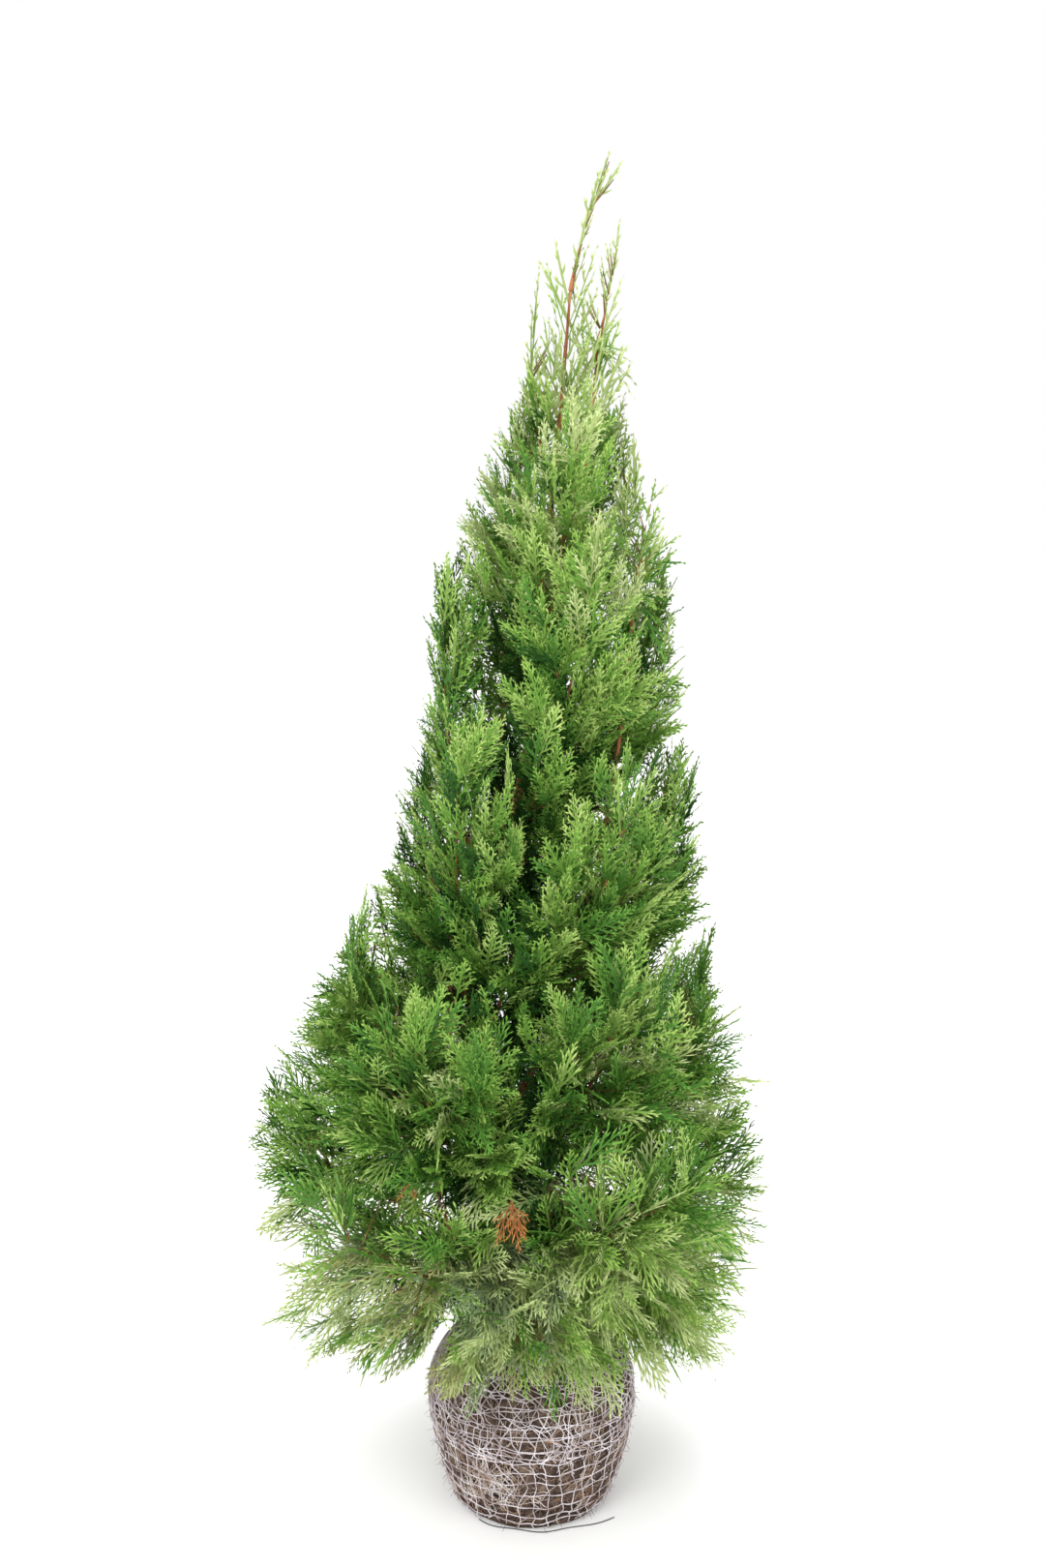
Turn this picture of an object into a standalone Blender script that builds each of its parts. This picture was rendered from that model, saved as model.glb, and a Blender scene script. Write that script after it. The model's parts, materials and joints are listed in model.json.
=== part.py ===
"""A young root-balled thuja, 1.4 m tall, standing on a soil ball in a wire net.

Z is up, and the origin is the centre of the ball's flat underside. The trunk stands on the ball
and leans to +X. Six tiers of foliage masses surround it: three on boughs, and three on the trunk.
Each mass grows from one stem by a seeded rule and keeps to its own space, which is the points
nearer to its stem than to any other.
"""

import math
import random

import bmesh
import bpy
import numpy as np
from mathutils import Vector
from mathutils.bvhtree import BVHTree
from mathutils.kdtree import KDTree

# All sizes are in metres, and all angles in degrees.
CLEARANCE = 0.0003  # left between two pieces that touch
SHARP_ANGLE = 40  # edges sharper than this stay sharp where round pieces are shaded smooth

# Root ball: a flat underside, a bulging side and a flat seat for the trunk.
BALL_HEIGHT = 0.186
BALL_FOOT_RADIUS = 0.084
BALL_RADIUS = 0.108
BALL_WIDEST_HEIGHT = 0.112
BALL_SEAT_RADIUS = 0.030
BALL_SIDES = 20
BALL_RINGS_BELOW = 3
BALL_RINGS_ABOVE = 3

# Wire net round the ball. These few wires stand for the many of the real net.
NET_WIRE = 0.0014  # radius of a wire's solid
WIRE_CORNERS = (60, 180, 300)  # a wire's solid has three sides
NET_UPRIGHTS = 10
NET_HOOPS = 4
NET_HOOP_SIDES = 20
NET_FOOT = 0.004
NET_TOP = 0.168

# Trunk: height, sideways place, and the wood's radius, from the flat cut to the woody tip.
TRUNK_STATIONS = (
    (0.1863, -0.004, 0.0110),
    (0.360, -0.026, 0.0088),
    (0.520, -0.050, 0.0072),
    (0.640, -0.044, 0.0062),
    (0.790, -0.007, 0.0050),
    (0.930, 0.003, 0.0038),
    (1.040, 0.018, 0.0029),
    (1.245, 0.036, 0.0015),
)
TRUNK_RINGS = 20
TRUNK_RING_GROWTH = 8  # the last gap between rings, as a multiple of the first
TRUNK_SIDES = 8
LEADER_SIDES = 6
LEADER_TIP_RADIUS = 0.0018
LEADER_SKIP = 3  # a leader's solid has a ring at each third point of its path
BOUGH_SIDES = 5
FLARE_RADIUS = 0.009  # added to the trunk's radius at the cut
FLARE_HEIGHT = 0.022

# Crown outline: height, sideways place of its middle, and half its width.
CROWN_OUTLINE = (
    (0.130, -0.010, 0.150),
    (0.200, -0.022, 0.238),
    (0.300, -0.032, 0.254),
    (0.344, -0.034, 0.264),
    (0.390, -0.014, 0.270),
    (0.450, -0.036, 0.258),
    (0.510, -0.026, 0.226),
    (0.600, -0.012, 0.190),
    (0.700, 0.014, 0.158),
    (0.850, 0.022, 0.128),
    (1.000, 0.026, 0.114),
    (1.110, 0.030, 0.068),
    (1.200, 0.046, 0.042),
    (1.260, 0.055, 0.034),
    (1.300, 0.062, 0.026),
    (1.377, 0.078, 0.022),
)
HEM_RISE = 0.55  # the crown's lower edge rises this much for each metre towards the front

# Tiers of foliage masses. root and tip are heights on the trunk and at the crown's edge, bend
# is how far the limb's middle rises above a straight line, and bough is the share of the limb
# that is bare wood. A tier with no bough has its masses' stems on the trunk itself. Limbs of
# the skirt that point to the front end higher, by front_lift at most.
TIERS = (
    {"name": "skirt", "count": 6, "root": 0.222, "tip": 0.190, "turn": 32, "bend": 0.060,
     "bough": 0.34, "sprays": 7, "spray": 0.170, "droop": 0.26, "front_lift": 0.090},
    {"name": "low", "count": 6, "root": 0.262, "tip": 0.400, "turn": 2, "bend": -0.005,
     "bough": 0.32, "sprays": 8, "spray": 0.185, "droop": 0.10},
    {"name": "wide", "count": 6, "root": 0.345, "tip": 0.590, "turn": 2, "bend": -0.040,
     "bough": 0.32, "sprays": 8, "spray": 0.180, "droop": 0.00},
    {"name": "middle", "count": 5, "root": 0.480, "tip": 0.790, "turn": 12, "bend": -0.055,
     "bough": 0.0, "sprays": 8, "spray": 0.175, "droop": -0.04},
    {"name": "upper", "count": 4, "root": 0.660, "tip": 0.980, "turn": 20, "bend": -0.050,
     "bough": 0.0, "sprays": 8, "spray": 0.160, "droop": -0.04},
    {"name": "shoulder", "count": 3, "root": 0.860, "tip": 1.140, "turn": 40, "bend": -0.035,
     "bough": 0.0, "sprays": 8, "spray": 0.120, "droop": -0.04},
)
LIMB_BOW = 0.2  # how far a limb's middle bows outwards, as a share of its reach
ROOT_STAGGER = 0.011  # every second limb of a tier leaves the trunk this much higher
TIP_STAGGER = 0.050
STEM_END = 0.66  # share of a limb's path where the stem stops and its last spray goes on
BOUGH_FOOT_RADIUS = 0.0042
STEM_FOOT_RADIUS = 0.0026
STEM_TIP_RADIUS = 0.0012
SEATING_STEPS = 12
BOUGH_STEPS = 4
STEM_STEPS = 4
STEM_SIDES = 3

# Leaders: stems beside the trunk, each from its root on the trunk through one bend to its tip.
LEADERS = (
    {"name": "right_leader", "root": 0.420, "azimuth": -28, "bend": (0.074, -0.052, 0.600),
     "tip": (0.098, -0.030, 0.960), "radius": 0.0042},
    {"name": "second_leader", "root": 0.905, "azimuth": -20, "bend": (0.052, -0.014, 1.020),
     "tip": (0.062, -0.010, 1.195), "radius": 0.0024},
)

# Open tufts at the top. A tuft's stem goes on from the limb named, or leaves the trunk at root.
TUFTS = (
    {"name": "leader_tip", "limb": "trunk", "bend": (0.048, 0.000, 1.310),
     "tip": (0.0780, 0.000, 1.377), "sprays": 9, "spray": 0.060},
    {"name": "second_leader", "limb": "second_leader", "bend": (0.074, -0.010, 1.240),
     "tip": (0.0830, -0.008, 1.305), "sprays": 8, "spray": 0.060},
    {"name": "right_leader", "limb": "right_leader", "bend": (0.106, -0.030, 1.010),
     "tip": (0.1180, -0.030, 1.070), "sprays": 8, "spray": 0.075},
    {"name": "left_crest", "root": 1.075, "root_azimuth": 176, "bend": (-0.012, -0.006, 1.140),
     "tip": (0.0060, -0.010, 1.255), "sprays": 9, "spray": 0.075},
)
TUFT_AZIMUTH = -90  # the way the open tufts' flat sprays face
TUFT_DROOP = -0.05

MASS_COLOURS = {"skirt": "dull", "low": "green", "wide": "green", "middle": "green"}

# Growth rule of the sprays on a stem.
GROWTH_SEED = 41
SPRAY_START = 0.06
GOLDEN_ANGLE = 137.5
SPREAD_AT_ROOT = 66
SPREAD_AT_TIP = 26
SIDEWAYS_BIAS = 1.35  # sprays leave to the sides more than above and below
ROLL_RANGE = 28
SHORTENINGS = (1.0, 0.88, 0.76, 0.64, 0.54, 0.46)
TURN_TRIES = (0, 30, -30, 60, -60, 90, -90)
SPACE_MARGIN = 0.0018
LIMB_MARGIN = 0.0020
EDGE_ROOM = 1.015  # how far past the crown's outline a tip may come, as a factor
SPRAY_MIDDLE = 0.6
INWARD_LIMIT = -0.3  # a spray that would leave more inwards than this leaves outwards
EDGE_ON_LIMIT = 0.85
TURN_RANGE = 20
SIZE_RANGE = 0.1
SPRAY_GAP = 0.58  # least distance to the middle of an earlier spray, as a share of the new one's length
STEM_SAMPLES = 24
FACE_LIFT = 0.3  # how far up the sprays face, for each unit that they face out

# A spray: a stalk and a toothed blade, as shares of its length.
TEETH = 3  # on each side, of a long spray
SHORT_TEETH = 2
SHORT_SPRAY = 0.095
STALK_SIDES = 4  # the space test leaves out the stalk's foot, which is sunk in the stem
STALK_END = 0.26
TEETH_END = 0.76
STALK_HALF_WIDTH = 0.020
BLADE_HALF_THICKNESS = 0.013
BLADE_THINNING = 0.5
NOTCH_FORWARD = 0.080
NOTCH_HALF_WIDTH = 0.130
TOOTH_FORWARD = 0.120
BLADE_HALF_WIDTH = 0.350


def outward(azimuth):
    """A level unit vector, turned from +X towards +Y."""
    angle = math.radians(azimuth)
    return Vector((math.cos(angle), math.sin(angle), 0.0))


def trunk_at(height):
    """The trunk's sideways place and radius, on a smooth curve through its stations."""
    heights, *columns = zip(*TRUNK_STATIONS)
    index = int(np.clip(np.searchsorted(heights, height) - 1, 0, len(heights) - 2))
    span = heights[index + 1] - heights[index]
    share = (height - heights[index]) / span
    values = []
    for column in columns:
        slopes = np.gradient(column, heights)
        rise = (1 + 2 * share) * (1 - share) ** 2 * column[index]
        rise += share * (1 - share) ** 2 * span * slopes[index]
        rise += share**2 * (3 - 2 * share) * column[index + 1]
        rise += share**2 * (share - 1) * span * slopes[index + 1]
        values.append(float(rise))
    sideways, radius = values
    flare = FLARE_RADIUS * math.exp((heights[0] - height) / FLARE_HEIGHT)
    return Vector((sideways, 0.0, height)), radius + flare


def crown_at(height):
    """The middle and the half width of the crown at a height."""
    heights, middles, widths = zip(*CROWN_OUTLINE)
    return float(np.interp(height, heights, middles)), float(np.interp(height, heights, widths))


def bent_path(start, bend, end, count):
    """Points along a curve that leaves start and reaches end, drawn towards bend."""
    path = []
    for step in range(count + 1):
        t = step / count
        path.append((1 - t) ** 2 * start + 2 * t * (1 - t) * bend + t**2 * end)
    return path


def part_of(path, first, last, count):
    """Points between two shares of a path, evenly spaced along its length."""
    lengths = np.cumsum([0.0] + [(b - a).length for a, b in zip(path, path[1:])])
    wanted = np.linspace(first, last, count + 1) * lengths[-1]
    columns = [np.interp(wanted, lengths, [point[axis] for point in path]) for axis in range(3)]
    return [Vector(point) for point in zip(*columns)]


def mesh_object(name, points, faces, material):
    mesh = bpy.data.meshes.new(name)
    mesh.from_pydata([tuple(point) for point in points], [], faces)
    mesh.materials.append(material)
    mesh.shade_smooth()
    mesh.set_sharp_from_angle(angle=math.radians(SHARP_ANGLE))
    item = bpy.data.objects.new(name, mesh)
    bpy.context.scene.collection.objects.link(item)
    return item


def tube(path, radii, sides, level_foot=False):
    """Points and faces of a closed tapering tube along a path."""
    points = []
    side = None
    for index, centre in enumerate(path):
        heading = (path[min(index + 1, len(path) - 1)] - path[max(index - 1, 0)]).normalized()
        if level_foot and index == 0:
            heading = Vector((0, 0, 1))
        if side is None:
            side = heading.orthogonal()
        side = (side - side.dot(heading) * heading).normalized()
        across = heading.cross(side)
        for corner in range(sides):
            angle = math.tau * corner / sides
            spoke = math.cos(angle) * side + math.sin(angle) * across
            points.append(centre + spoke * float(radii[index]))
    faces = []
    for ring in range(len(path) - 1):
        for corner in range(sides):
            here = ring * sides + corner
            beside = ring * sides + (corner + 1) % sides
            faces.append((here, beside, beside + sides, here + sides))
    faces.append(tuple(reversed(range(sides))))
    faces.append(tuple(range(len(points) - sides, len(points))))
    return points, faces


def turned(profile, sides):
    """Points and faces of a profile of (radius, height) turned round Z, closed flat at both ends."""
    points = []
    for radius, height in profile:
        for corner in range(sides):
            points.append(radius * outward(360 * corner / sides) + Vector((0, 0, height)))
    faces = []
    for ring in range(len(profile) - 1):
        for corner in range(sides):
            here = ring * sides + corner
            beside = ring * sides + (corner + 1) % sides
            faces.append((here, beside, beside + sides, here + sides))
    faces.append(tuple(reversed(range(sides))))
    faces.append(tuple(range(len(points) - sides, len(points))))
    return points, faces


def spray(root, heading, face, length, droop):
    """Points and faces of a flat spray: a stalk, then a blade with teeth that point forwards."""
    side = heading.cross(face).normalized()
    face = side.cross(heading).normalized()

    def place(across, forward, up):
        sag = Vector((0, 0, -droop * length * forward**2))
        return root + length * (across * side + forward * heading + up * face) + sag

    points = []
    for forward in (0.0, STALK_END):
        for across, up in ((0, 1), (1, 0), (0, -1), (-1, 0)):
            points.append(place(across * STALK_HALF_WIDTH, forward, up * BLADE_HALF_THICKNESS))
    faces = [tuple(reversed(range(STALK_SIDES)))]
    for corner in range(STALK_SIDES):
        beside = (corner + 1) % STALK_SIDES
        faces.append((corner, beside, beside + STALK_SIDES, corner + STALK_SIDES))
    top, right, bottom, left = 4, 5, 6, 7
    teeth = SHORT_TEETH if length < SHORT_SPRAY else TEETH
    for tooth in range(1, teeth + 1):
        forward = STALK_END + (TEETH_END - STALK_END) * tooth / teeth
        reach = BLADE_HALF_WIDTH * math.sin(math.pi * (tooth + 1) / (teeth + 2))
        thin = BLADE_HALF_THICKNESS * (1 - BLADE_THINNING * tooth / teeth)
        base = len(points)
        points.append(place(reach, forward + TOOTH_FORWARD, 0))
        points.append(place(-reach, forward + TOOTH_FORWARD, 0))
        points.append(place(0, forward, thin))
        points.append(place(NOTCH_HALF_WIDTH, forward + NOTCH_FORWARD, 0))
        points.append(place(0, forward, -thin))
        points.append(place(-NOTCH_HALF_WIDTH, forward + NOTCH_FORWARD, 0))
        faces += [
            (top, right, base), (top, base, base + 2), (base + 2, base, base + 3),
            (left, top, base + 1), (base + 1, top, base + 2), (base + 1, base + 2, base + 5),
            (right, bottom, base), (base, bottom, base + 4), (base, base + 4, base + 3),
            (bottom, left, base + 1), (bottom, base + 1, base + 4), (base + 4, base + 1, base + 5),
        ]
        top, right, bottom, left = base + 2, base + 3, base + 4, base + 5
    tip = len(points)
    points.append(place(0, 1.0, 0))
    faces += [(top, right, tip), (left, top, tip), (right, bottom, tip), (bottom, left, tip)]
    return points, faces


def plain_material(name, colour, roughness):
    material = bpy.data.materials.new(name)
    material.use_nodes = True
    shader = material.node_tree.nodes["Principled BSDF"]
    shader.inputs["Base Color"].default_value = (*colour, 1.0)
    shader.inputs["Roughness"].default_value = roughness
    shader.inputs["Metallic"].default_value = 0.0
    return material


def make_materials():
    return {
        "soil": plain_material("ball soil", (0.055, 0.036, 0.026), 0.95),
        "wire": plain_material("net wire", (0.36, 0.33, 0.33), 0.55),
        "bark": plain_material("bark", (0.20, 0.095, 0.045), 0.85),
        "green": plain_material("foliage green", (0.075, 0.170, 0.030), 0.60),
        "fresh": plain_material("foliage fresh", (0.150, 0.270, 0.060), 0.60),
        "dull": plain_material("foliage dull", (0.090, 0.140, 0.055), 0.65),
    }


def outer_shell(mesh):
    """Leaves only the largest closed body of a mesh, which also fills its sealed hollows."""
    body = bmesh.new()
    body.from_mesh(mesh)
    left = set(body.faces)
    groups = []
    while left:
        group = {left.pop()}
        edge_of_group = list(group)
        while edge_of_group:
            for edge in edge_of_group.pop().edges:
                fresh = set(edge.link_faces) & left
                left -= fresh
                group |= fresh
                edge_of_group += fresh
        groups.append(group)

    def volume(group):
        total = 0.0
        for face in group:
            corners = [loop.vert.co for loop in face.loops]
            for second, third in zip(corners[1:], corners[2:]):
                total += corners[0].dot(second.cross(third)) / 6
        return total

    largest = max(groups, key=volume)
    extra = [face for group in groups if group is not largest for face in group]
    bmesh.ops.delete(body, geom=extra, context="FACES")
    loose = [vert for vert in body.verts if not vert.link_faces]
    bmesh.ops.delete(body, geom=loose, context="VERTS")
    body.to_mesh(mesh)
    body.free()


def fused(name, pieces, material):
    """One closed object from overlapping closed pieces of (points, faces)."""
    first, *others = pieces
    item = mesh_object(name, *first, material)
    group = bpy.data.collections.new(name + " pieces")
    for number, piece in enumerate(others):
        part = mesh_object(f"{name} piece {number}", *piece, material)
        bpy.context.scene.collection.objects.unlink(part)
        group.objects.link(part)
    union = item.modifiers.new("union", "BOOLEAN")
    union.operation = "UNION"
    union.operand_type = "COLLECTION"
    union.collection = group
    union.solver = "MANIFOLD"
    bpy.context.view_layer.update()
    graph = bpy.context.evaluated_depsgraph_get()
    joined = bpy.data.meshes.new_from_object(item.evaluated_get(graph))
    item.modifiers.remove(union)
    outer_shell(joined)
    joined.set_sharp_from_angle(angle=math.radians(SHARP_ANGLE))
    item.data = joined
    for part in list(group.objects):
        bpy.data.objects.remove(part)
    bpy.data.collections.remove(group)
    return item


def ball_profile():
    """(radius, height) of the ball's side from its foot to its seat."""
    profile = []
    for step in range(BALL_RINGS_BELOW):
        share = step / BALL_RINGS_BELOW
        radius = BALL_FOOT_RADIUS + (BALL_RADIUS - BALL_FOOT_RADIUS) * math.sin(share * math.pi / 2)
        profile.append((radius, BALL_WIDEST_HEIGHT * share))
    for step in range(BALL_RINGS_ABOVE + 1):
        angle = math.radians(90 * step / BALL_RINGS_ABOVE)
        radius = BALL_SEAT_RADIUS + (BALL_RADIUS - BALL_SEAT_RADIUS) * math.cos(angle)
        height = BALL_WIDEST_HEIGHT + (BALL_HEIGHT - BALL_WIDEST_HEIGHT) * math.sin(angle)
        profile.append((radius, height))
    return profile


def make_ball(materials):
    points, faces = turned(ball_profile(), BALL_SIDES)
    mesh_object("root_ball", points, faces, materials["soil"])


def net_profile():
    """(radius, height) of the net's wires, which lie just clear of the ball's side."""
    away = NET_WIRE + CLEARANCE
    rings = [np.array(ring) for ring in ball_profile()]
    normals = []
    for lower, upper in zip(rings, rings[1:]):
        along = (upper - lower) / np.linalg.norm(upper - lower)
        normals.append(np.array((along[1], -along[0])))
    profile = [rings[0] + away * normals[0]]
    for ring, before, after in zip(rings[1:-1], normals, normals[1:]):
        middle = before + after
        profile.append(ring + away * middle * 2 / middle.dot(middle))
    return profile


def make_net(materials):
    """Hoops, and upright wires that cross them, fused into one net."""
    radii, heights = zip(*net_profile())
    pieces = []
    for number in range(NET_HOOPS):
        height = NET_FOOT + (NET_TOP - NET_FOOT) * (number + 0.5) / NET_HOOPS
        pieces.append(hoop(float(np.interp(height, heights, radii)), height))
    levels = [NET_FOOT, *(height for height in heights if NET_FOOT < height < NET_TOP), NET_TOP]
    for number in range(NET_UPRIGHTS):
        way = outward(360 * number / NET_UPRIGHTS)
        path = [way * float(np.interp(level, heights, radii)) + Vector((0, 0, level)) for level in levels]
        pieces.append(tube(path, [NET_WIRE] * len(path), len(WIRE_CORNERS)))
    fused("wire_net", pieces, materials["wire"])


def hoop(radius, height):
    """A closed ring of three-sided wire."""
    points = []
    for step in range(NET_HOOP_SIDES):
        way = outward(360 * step / NET_HOOP_SIDES)
        for angle in WIRE_CORNERS:
            out = radius + NET_WIRE * math.cos(math.radians(angle))
            up = height + NET_WIRE * math.sin(math.radians(angle))
            points.append(out * way + Vector((0, 0, up)))
    faces = []
    corners = len(WIRE_CORNERS)
    for step in range(NET_HOOP_SIDES):
        here = corners * step
        after = corners * ((step + 1) % NET_HOOP_SIDES)
        for corner in range(corners):
            beside = (corner + 1) % corners
            faces.append((here + corner, after + corner, after + beside, here + beside))
    return points, faces


def limb_root(height, azimuth, radius):
    """Where a limb of this radius starts, beside the trunk."""
    centre, trunk_radius = trunk_at(height)
    return centre + outward(azimuth) * (trunk_radius + radius)


def seat_foot(path, radius, sides, surface):
    """Slides the first point of a limb's path until the rim of its foot is just clear of the wood."""
    away = (path[1] - path[0]).normalized()
    for _ in range(SEATING_STEPS):
        corners = tube(path, [radius] * len(path), sides)[0][:sides]
        rim = corners + [(a + b) / 2 for a, b in zip(corners, corners[1:] + corners[:1])]
        gap = min(surface.find_nearest(point)[3] for point in [*rim, path[0]])
        path[0] = path[0] - away * (gap - CLEARANCE)


def tier_limbs():
    """Every limb of the tiers: its path from the trunk to the crown's edge."""
    limbs = []
    for tier in TIERS:
        for number in range(tier["count"]):
            odd = number % 2
            azimuth = tier["turn"] + 360 * number / tier["count"]
            tip_height = tier["tip"] + TIP_STAGGER * (odd - 0.5)
            tip_height += tier.get("front_lift", 0) * max(0, -outward(azimuth).y)
            middle, reach = crown_at(tip_height)
            radius = BOUGH_FOOT_RADIUS if tier["bough"] else STEM_FOOT_RADIUS
            start = limb_root(tier["root"] + ROOT_STAGGER * odd, azimuth, radius)
            end = Vector((middle, 0, tip_height)) + outward(azimuth) * reach
            bend = (start + end) / 2 + outward(azimuth) * LIMB_BOW * reach
            bend.z = (start.z + end.z) / 2 + tier["bend"]
            limbs.append({**tier, "name": f"{tier['name']}_{number + 1}", "azimuth": azimuth,
                          "path": bent_path(start, bend, end, STEM_SAMPLES)})
    return limbs


def leader_paths():
    """Path and radii of the trunk and of each leader, from foot to tip."""
    stations = [trunk_at(height) for height in
                np.linspace(TRUNK_STATIONS[0][0], TRUNK_STATIONS[-1][0], 2 * TRUNK_RINGS)]
    paths = {"trunk": ([centre for centre, _ in stations], [radius for _, radius in stations])}
    for leader in LEADERS:
        start = limb_root(leader["root"], leader["azimuth"], leader["radius"])
        path = bent_path(start, Vector(leader["bend"]), Vector(leader["tip"]), STEM_SAMPLES)
        radii = np.linspace(leader["radius"], LEADER_TIP_RADIUS, len(path))
        paths[leader["name"]] = (path, list(radii))
    return paths


def tuft_limbs(leaders):
    """The stems of the open tufts at the top."""
    limbs = []
    for tuft in TUFTS:
        if "limb" in tuft:
            path, _ = leaders[tuft["limb"]]
            heading = (path[-1] - path[-2]).normalized()
            start = path[-1] + heading * CLEARANCE
        else:
            start = limb_root(tuft["root"], tuft["root_azimuth"], STEM_FOOT_RADIUS)
        path = bent_path(start, Vector(tuft["bend"]), Vector(tuft["tip"]), STEM_SAMPLES)
        limbs.append({**tuft, "bough": 0.0, "droop": TUFT_DROOP, "azimuth": TUFT_AZIMUTH, "path": path})
    return limbs


def tree_of(points):
    tree = KDTree(len(points))
    for index, point in enumerate(points):
        tree.insert(point, index)
    tree.balance()
    return tree


def wood_of(limbs, leaders):
    """Points along all the bare wood, each with the wood's radius there."""
    wood = []
    for limb in limbs:
        if limb["bough"]:
            bare = part_of(limb["path"], 0, limb["bough"], STEM_SAMPLES)
            wood += [(point, BOUGH_FOOT_RADIUS) for point in bare]
    for path, radii in leaders.values():
        for first, last, radius in zip(path, path[1:], radii):
            wood += [(first.lerp(last, share), radius) for share in (0, 0.25, 0.5, 0.75)]
        wood.append((path[-1], radii[-1]))
    return wood


class Space:
    """Where one mass may grow: nearer its own stem than any other, in the crown, off the wood."""

    def __init__(self, own, limbs, wood):
        stems = [part_of(limb["path"], limb["bough"], 1, STEM_SAMPLES) for limb in limbs]
        self.own = tree_of(stems[own])
        self.others = tree_of([point for index, stem in enumerate(stems) if index != own for point in stem])
        self.wood = tree_of([point for point, _ in wood])
        self.radii = [radius for _, radius in wood]

    def holds(self, point):
        middle, width = crown_at(point.z)
        hem = CROWN_OUTLINE[0][0] + HEM_RISE * max(0, -point.y)
        if not hem < point.z < CROWN_OUTLINE[-1][0] + SPACE_MARGIN:
            return False
        if math.hypot(point.x - middle, point.y) > width * EDGE_ROOM:
            return False
        if self.others.find(point)[2] - self.own.find(point)[2] < SPACE_MARGIN:
            return False
        near = self.wood.find_range(point, max(self.radii) + LIMB_MARGIN)
        return all(gap > self.radii[index] + LIMB_MARGIN for _, index, gap in near)

    def holds_all(self, points):
        return all(self.holds(point) for point in points)


def frame_on(heading, facing):
    """The level way to the side of a heading, and the way above it."""
    side = facing.cross(Vector((0, 0, 1)))
    side = (side - side.dot(heading) * heading).normalized()
    return side, side.cross(heading)


def sprays_on(limb, space, seed):
    """The sprays of one mass: a golden-angle spiral up its stem, and one that ends it."""
    rng = random.Random(seed)
    stem = part_of(limb["path"], limb["bough"], STEM_END, STEM_SAMPLES)
    facing = outward(limb["azimuth"])
    sprays = []
    taken = []
    for number in range(limb["sprays"] - 1):
        share = SPRAY_START + (1 - SPRAY_START) * (number + 1) / limb["sprays"]
        step = int(share * STEM_SAMPLES)
        heading = (stem[step + 1] - stem[step]).normalized()
        spread = math.radians(SPREAD_AT_ROOT + (SPREAD_AT_TIP - SPREAD_AT_ROOT) * share)
        turn = GOLDEN_ANGLE * number + rng.uniform(-TURN_RANGE, TURN_RANGE)
        roll = math.radians(rng.uniform(-ROLL_RANGE, ROLL_RANGE))
        size = limb["spray"] * rng.uniform(1 - SIZE_RANGE, 1 + SIZE_RANGE)
        side, above = frame_on(heading, facing)
        ways = []
        for extra in TURN_TRIES:
            angle = math.radians(turn + extra)
            spoke = SIDEWAYS_BIAS * math.cos(angle) * side + math.sin(angle) * above
            if spoke.dot(facing) < INWARD_LIMIT:
                spoke = -spoke
            ways.append(math.cos(spread) * heading + math.sin(spread) * spoke.normalized())
        sprays += largest_spray(stem[step], ways, facing, roll, size, limb["droop"], space, taken)
    to_tip = limb["path"][-1] - stem[-1]
    ways = [to_tip.normalized()]
    return sprays + largest_spray(stem[-1], ways, facing, 0.0, to_tip.length, 0.0, space, [])


def largest_spray(root, ways, facing, roll, size, droop, space, taken):
    """The longest spray along one of the ways that keeps to its space, in a list, or none."""
    for shorter in SHORTENINGS:
        for way in ways:
            middle = root + way * size * shorter * SPRAY_MIDDLE
            if any((middle - other).length < SPRAY_GAP * size * shorter for other in taken):
                continue
            face = facing + Vector((0, 0, FACE_LIFT))
            if abs(face.normalized().dot(way)) > EDGE_ON_LIMIT:
                face = frame_on(way, facing)[1]
            across = way.cross(face).normalized()
            face = math.cos(roll) * across.cross(way) + math.sin(roll) * across
            points, faces = spray(root, way, face, size * shorter, droop)
            middles = [(points[first] + points[second]) / 2 for first, second, *_ in faces]
            if space.holds_all(points[STALK_SIDES:] + middles[STALK_SIDES + 1:]):
                taken.append(middle)
                return [(points, faces)]
    return []


def trunk_tube():
    """Points and faces of the trunk, with its rings closer together near the flare."""
    foot = TRUNK_STATIONS[0][0]
    span = TRUNK_STATIONS[-1][0] - foot
    shares = (np.geomspace(1, TRUNK_RING_GROWTH, TRUNK_RINGS + 1) - 1) / (TRUNK_RING_GROWTH - 1)
    rings = [trunk_at(foot + span * share) for share in shares]
    centres, radii = zip(*rings)
    return tube(centres, radii, TRUNK_SIDES, level_foot=True)


def make_wood(limbs, leaders, materials):
    """The trunk, the leaders and the boughs, each one tapering solid seated on the trunk."""
    trunk = trunk_tube()
    surface = BVHTree.FromPolygons(*trunk)
    mesh_object("trunk", *trunk, materials["bark"])
    for leader in LEADERS:
        path, radii = leaders[leader["name"]]
        path, radii = path[::LEADER_SKIP], radii[::LEADER_SKIP]
        seat_foot(path, radii[0], LEADER_SIDES, surface)
        mesh_object(leader["name"], *tube(path, radii, LEADER_SIDES), materials["bark"])
    for limb in limbs:
        if limb["bough"]:
            path = part_of(limb["path"], 0, limb["bough"], BOUGH_STEPS)
            radii = np.linspace(BOUGH_FOOT_RADIUS, STEM_FOOT_RADIUS, len(path))
            seat_foot(path, radii[0], BOUGH_SIDES, surface)
            mesh_object("bough_" + limb["name"], *tube(path, radii, BOUGH_SIDES), materials["bark"])
    return surface


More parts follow.
